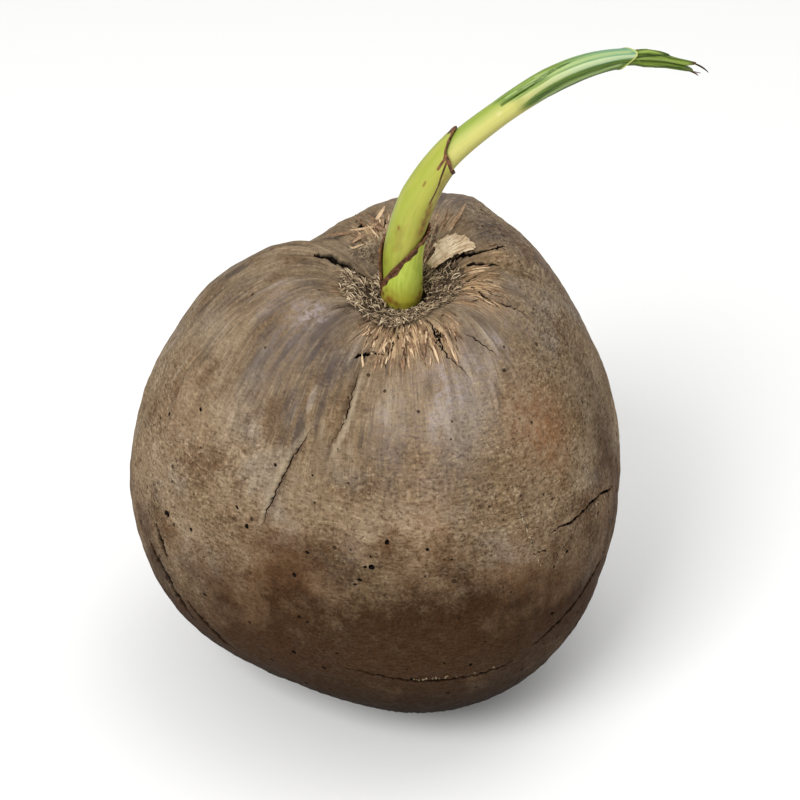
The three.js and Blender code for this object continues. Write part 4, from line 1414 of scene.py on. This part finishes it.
def addFirstLeaf():
    # the stalk and the folded blade, and at its end the pocket that the spear leaf comes out of
    form = firstLeaf
    reach = form["end"] - form["start"]
    pocketShare = form["pocketDepth"] / (reach + form["pocketDepth"])
    flat = form["measured"]
    grooveDepth, grooveWidth = form["ribGroove"]
    lipRise, lipWidth = form["lipRise"]

    def outsideRadius(distance, angle):
        blade = ease((distance - tableAt(form["bladeStart"], angle)) / form["bladeStep"])
        radius = tableAt(form["radii"], distance) * foldAt(form, angle, blade)
        for slit in form["slits"]:
            radius = radius - form["slitDepth"] * strokeMask(slit, distance, angle, flat)
        rib = ribShare(form, distance, angle) * blade
        groove = bell(turnsFrom(angle, tableAt(form["ribLow"], distance)) / grooveWidth) * blade
        lip = bell((form["end"] - distance) / lipWidth)
        return radius + form["ribRise"] * rib - grooveDepth * groove + lipRise * lip

    def placeAt(share, angle, spread):
        outer = share < 1 - pocketShare
        distance = np.where(outer, form["start"] + reach * share / (1 - pocketShare),
                            form["end"] - form["pocketDepth"] * (share - 1 + pocketShare) / pocketShare)
        nearEnd = ease((distance - form["end"] + form["slantReach"]) / form["slantReach"])
        slant = (lipAt(angle) - form["end"]) * nearEnd
        pocket = tableAt(spearLeaf["radii"], distance + slant) + form["gap"] / form["flatShare"]
        radius = np.where(outer, outsideRadius(distance, angle), pocket)
        return shootPoints(distance + slant, angle, radius * spread, leafFlatness(form, distance))

    leaf, share, side = addTube("first_leaf_blade", form["rings"], form["sides"], placeAt)
    faceOutward(leaf)
    outer = share < 1 - pocketShare
    distance = np.where(outer, form["start"] + reach * share / (1 - pocketShare), form["end"])
    blade = ease((distance - tableAt(form["bladeStart"], side)) / tableAt(form["bladeFade"], side))
    below = ease(turnsFrom(side, tableAt(form["ribLow"], distance)) / 8)
    markShoot(leaf, distance, side)
    setAttribute(leaf, "blade", blade)
    setAttribute(leaf, "rib", ribShare(form, distance, side) * blade)
    # painted shade on the lower half of the folded blade
    setAttribute(leaf, "shadedBand", below * blade * ease(turnsFrom(352, side) / 20))
    setAttribute(leaf, "slit", strokesMask(form["slits"], distance, side, flat))
    stripes = sum(strokeMask(stroke, distance, side, flat) for stroke in form["topStripes"])
    # the light streak along the lower band is a painted sheen
    stripes += 0.8 * strokeMask(form["stripe"], distance, side, flat)
    setAttribute(leaf, "stripe", np.clip(stripes, 0, 1) * blade)
    setAttribute(leaf, "lip", ease((distance - form["end"] + 1) / 0.5))
    setAttribute(leaf, "fleck", strokeMask(form["fleck"], distance, side, flat))
    return leaf


def addNotchCutter():
    # the wedge that is torn out of the spear leaf's end
    form = spearLeaf
    cutter = newPiece("notchCutter", bpy.ops.mesh.primitive_cylinder_add, vertices=3, radius=1, depth=2)
    points = meshPoints(cutter)
    corner = np.round(np.degrees(np.arctan2(points[:, 0], points[:, 1])) / 120).astype(int) % 3
    beyond, thickness = form["end"] + 4, 8
    distance = np.array([form["end"] - form["notchDepth"], beyond, beyond])[corner]
    off = np.array([0, -form["notchWidth"], form["notchWidth"]])[corner]
    placed = shootPoints(distance, np.zeros(len(points)), off)
    placed[:, 1] += thickness * np.sign(points[:, 2])
    setPoints(cutter, placed * millimetre)
    faceOutward(cutter)
    markShoot(cutter, np.full(len(points), form["end"]), np.zeros(len(points)))
    setAttribute(cutter, "groove", np.zeros(len(points)))
    setAttribute(cutter, "stripe", np.zeros(len(points)))
    return cutter


def addSpearLeaf():
    form = spearLeaf
    middle = form["measured"]
    foldStart, foldReach = form["foldedFrom"]

    def placeAt(share, angle, spread):
        distance = form["start"] + (form["end"] - form["start"]) * share
        folded = ease((distance - foldStart) / foldReach)
        radius = tableAt(form["radii"], distance) * foldAt(form, angle, folded)
        radius = radius - form["grooveDepth"] * strokesMask(form["grooves"], distance, angle, middle)
        radius = radius + form["foldRise"] * strokeMask(form["fold"], distance, angle, middle)
        return shootPoints(distance, angle, radius * spread, form["flatShare"])

    leaf, share, side = addTube("spear_leaf_blade", form["rings"], form["sides"], placeAt)
    faceOutward(leaf)
    distance = form["start"] + (form["end"] - form["start"]) * share
    markShoot(leaf, distance, side)
    setAttribute(leaf, "groove", strokesMask(form["grooves"], distance, side, middle))
    setAttribute(leaf, "stripe", strokesMask(form["pale"], distance, side, middle))
    cutFrom(leaf, addNotchCutter())
    return leaf


def addTornThreads():
    # the dried threads at the torn end
    places = [[shootPoints(*(np.array([value], float) for value in spot))[0] for spot in thread[:3]]
              for thread in tornThreads]
    start, middle, end = (np.array([place[index] for place in places]) for index in range(3))
    width = np.array([thread[3] for thread in tornThreads])
    up = np.tile([0.0, 1.0, 0.0], (len(places), 1))
    return addStrands("torn_threads", 12, start, middle, end, up, width, width * 0.7,
                      np.linspace(0.1, 0.6, len(places)))


def veins(tree, across, along, detail=3.0, roughness=0.6):
    # streaks that run along the shoot
    east = maths(tree, "MULTIPLY", attributeOf(tree, "sideCos"), across)
    north = maths(tree, "MULTIPLY", attributeOf(tree, "sideSin"), across)
    up = maths(tree, "MULTIPLY", attributeOf(tree, "distance"), along)
    vector = addNode(tree, "CombineXYZ", {0: east, 1: north, 2: up}).outputs[0]
    return noiseOf(tree, vector, 1, detail, roughness)


def driedOver(tree, shader, colour):
    # the rusty marks and the dried, rough margins that lie over a green
    grain = noiseOf(tree, objectPlace(tree), 500, 4, 0.65)
    rusty = coverage(tree, attributeOf(tree, "rusty"), 1, 0.92)
    colour = mixed(tree, rusty, colour, painted(tree, "5f3d1a", (grain, 0.4, 0.6, 1, "8f6427")))
    dried = attributeOf(tree, "dried")
    brown = painted(tree, "3d2417", (grain, 0.38, 0.62, 1, "7c5334"))
    linkLook(tree, shader, painted(tree, colour, (dried, 0.35, 0.6, 1, brown)), 0.35)
    linkBump(tree, shader, grain, 0.4)
    tree.links.new(remapped(tree, dried, 0.3, 0.7, 0.42, 0.8), shader.inputs["Roughness"])


def scaleMaterial():
    material, tree, shader = newMaterial("scaleLeafGreen", 0.42)
    colour = painted(tree, "aabd45", (veins(tree, 7, 0.12), 0.38, 0.62, 1, "c3d05c"),
                     (attributeOf(tree, "distance"), 24, 14, 0.85, "a59a30"))
    driedOver(tree, shader, colour)
    return material


def sheathMaterial():
    material, tree, shader = newMaterial("sheathGreen", 0.42)
    across = attributeOf(tree, "sideCos")
    colour = painted(tree, "939f36", (across, -1, -0.2, 1, "a6a742"), (across, 0.05, 0.85, 1, "998e40"),
                     (veins(tree, 9, 0.07), 0.5, 0.66, 0.45, "7f9034"),
                     (veins(tree, 1.6, 0.04, 2), 0.5, 0.66, 0.5, "b2ac52"))
    driedOver(tree, shader, colour)
    return material


def leafMaterial():
    material, tree, shader = newMaterial("leafGreen", 0.4)
    streaks = veins(tree, 10, 0.07)
    fine = veins(tree, 26, 0.06)
    across = attributeOf(tree, "sideCos")
    distance = attributeOf(tree, "distance")
    blade = attributeOf(tree, "blade")

    stalk = painted(tree, "8a9d3e", (across, -0.95, -0.3, 1, "c3be6c"), (across, 0.15, 0.8, 1, "a9a34f"),
                    (streaks, 0.5, 0.66, 0.4, "a3ad50"))
    green = painted(tree, "587528", (streaks, 0.42, 0.58, 1, "94a855"), (fine, 0.5, 0.62, 0.75, "455f18"))
    colour = mixed(tree, blade, stalk, green)
    # a painted sheen towards the blade's end
    colour = painted(tree, colour, (distance, 134, 154, 0.7, "6a977f"), weight=blade)
    ribColour = painted(tree, stalk, (distance, 114, 140, 1, "bccb9c"))
    ribFade = remapped(tree, distance, 132, 158, 0.94, 0.75)
    ribShown = maths(tree, "MULTIPLY", attributeOf(tree, "rib"), ribFade)
    colour = mixed(tree, ribShown, colour, ribColour)
    # painted shade: the lower half of the folded blade, darker green
    shadedBand = painted(tree, "29400e", (fine, 0.4, 0.62, 1, "60792a"))
    colour = mixed(tree, attributeOf(tree, "shadedBand"), colour, shadedBand)
    # the pale stripes, with the painted sheen along the lower band, the slits, the fleck and the lip
    colour = covered(tree, colour, ("stripe", 0.75, "a3b878"), ("slit", 0.7, "36551c"),
                     ("fleck", 0.22, "e6e2b4"), ("lip", 0.8, "b4b964"))
    linkLook(tree, shader, colour, 0.28)
    linkBump(tree, shader, fine, 0.35)
    return material


def spearMaterial():
    material, tree, shader = newMaterial("spearGreen", 0.42)
    fine = veins(tree, 20, 0.08)
    colour = painted(tree, "34490c", (veins(tree, 8, 0.06), 0.42, 0.56, 1, "74892c"),
                     (fine, 0.5, 0.6, 0.75, "2c4514"))
    colour = covered(tree, colour, ("stripe", 0.6, "a0b55c"), ("groove", 0.9, "26380e"))
    raggedEnd = maths(tree, "MULTIPLY_ADD", fine, 5, attributeOf(tree, "distance"))
    colour = painted(tree, colour, (raggedEnd, 187.5, 190, 1, "4a3420"))
    linkLook(tree, shader, colour, 0.2)
    linkBump(tree, shader, fine, 0.4)
    return material


for piece, look, slot, node in (
    (addScaleLeaf(), scaleMaterial(), "scale_green", "scale_leaf"),
    (addSheath(), sheathMaterial(), "sheath_green", "sheath"),
    (addFirstLeaf(), leafMaterial(), "leaf_green", "first_leaf"),
    (addSpearLeaf(), spearMaterial(), "spear_green", "spear_leaf"),
):
    smoothUpTo(piece, 60)
    finished(piece, look, slot, node)
finished(addTornThreads(), strandMaterial("tornThreads", "1f140c", "46301d", "6d4c2f"), "spear_green")
print("shoot: scale leaf, sheath, first leaf and spear leaf")
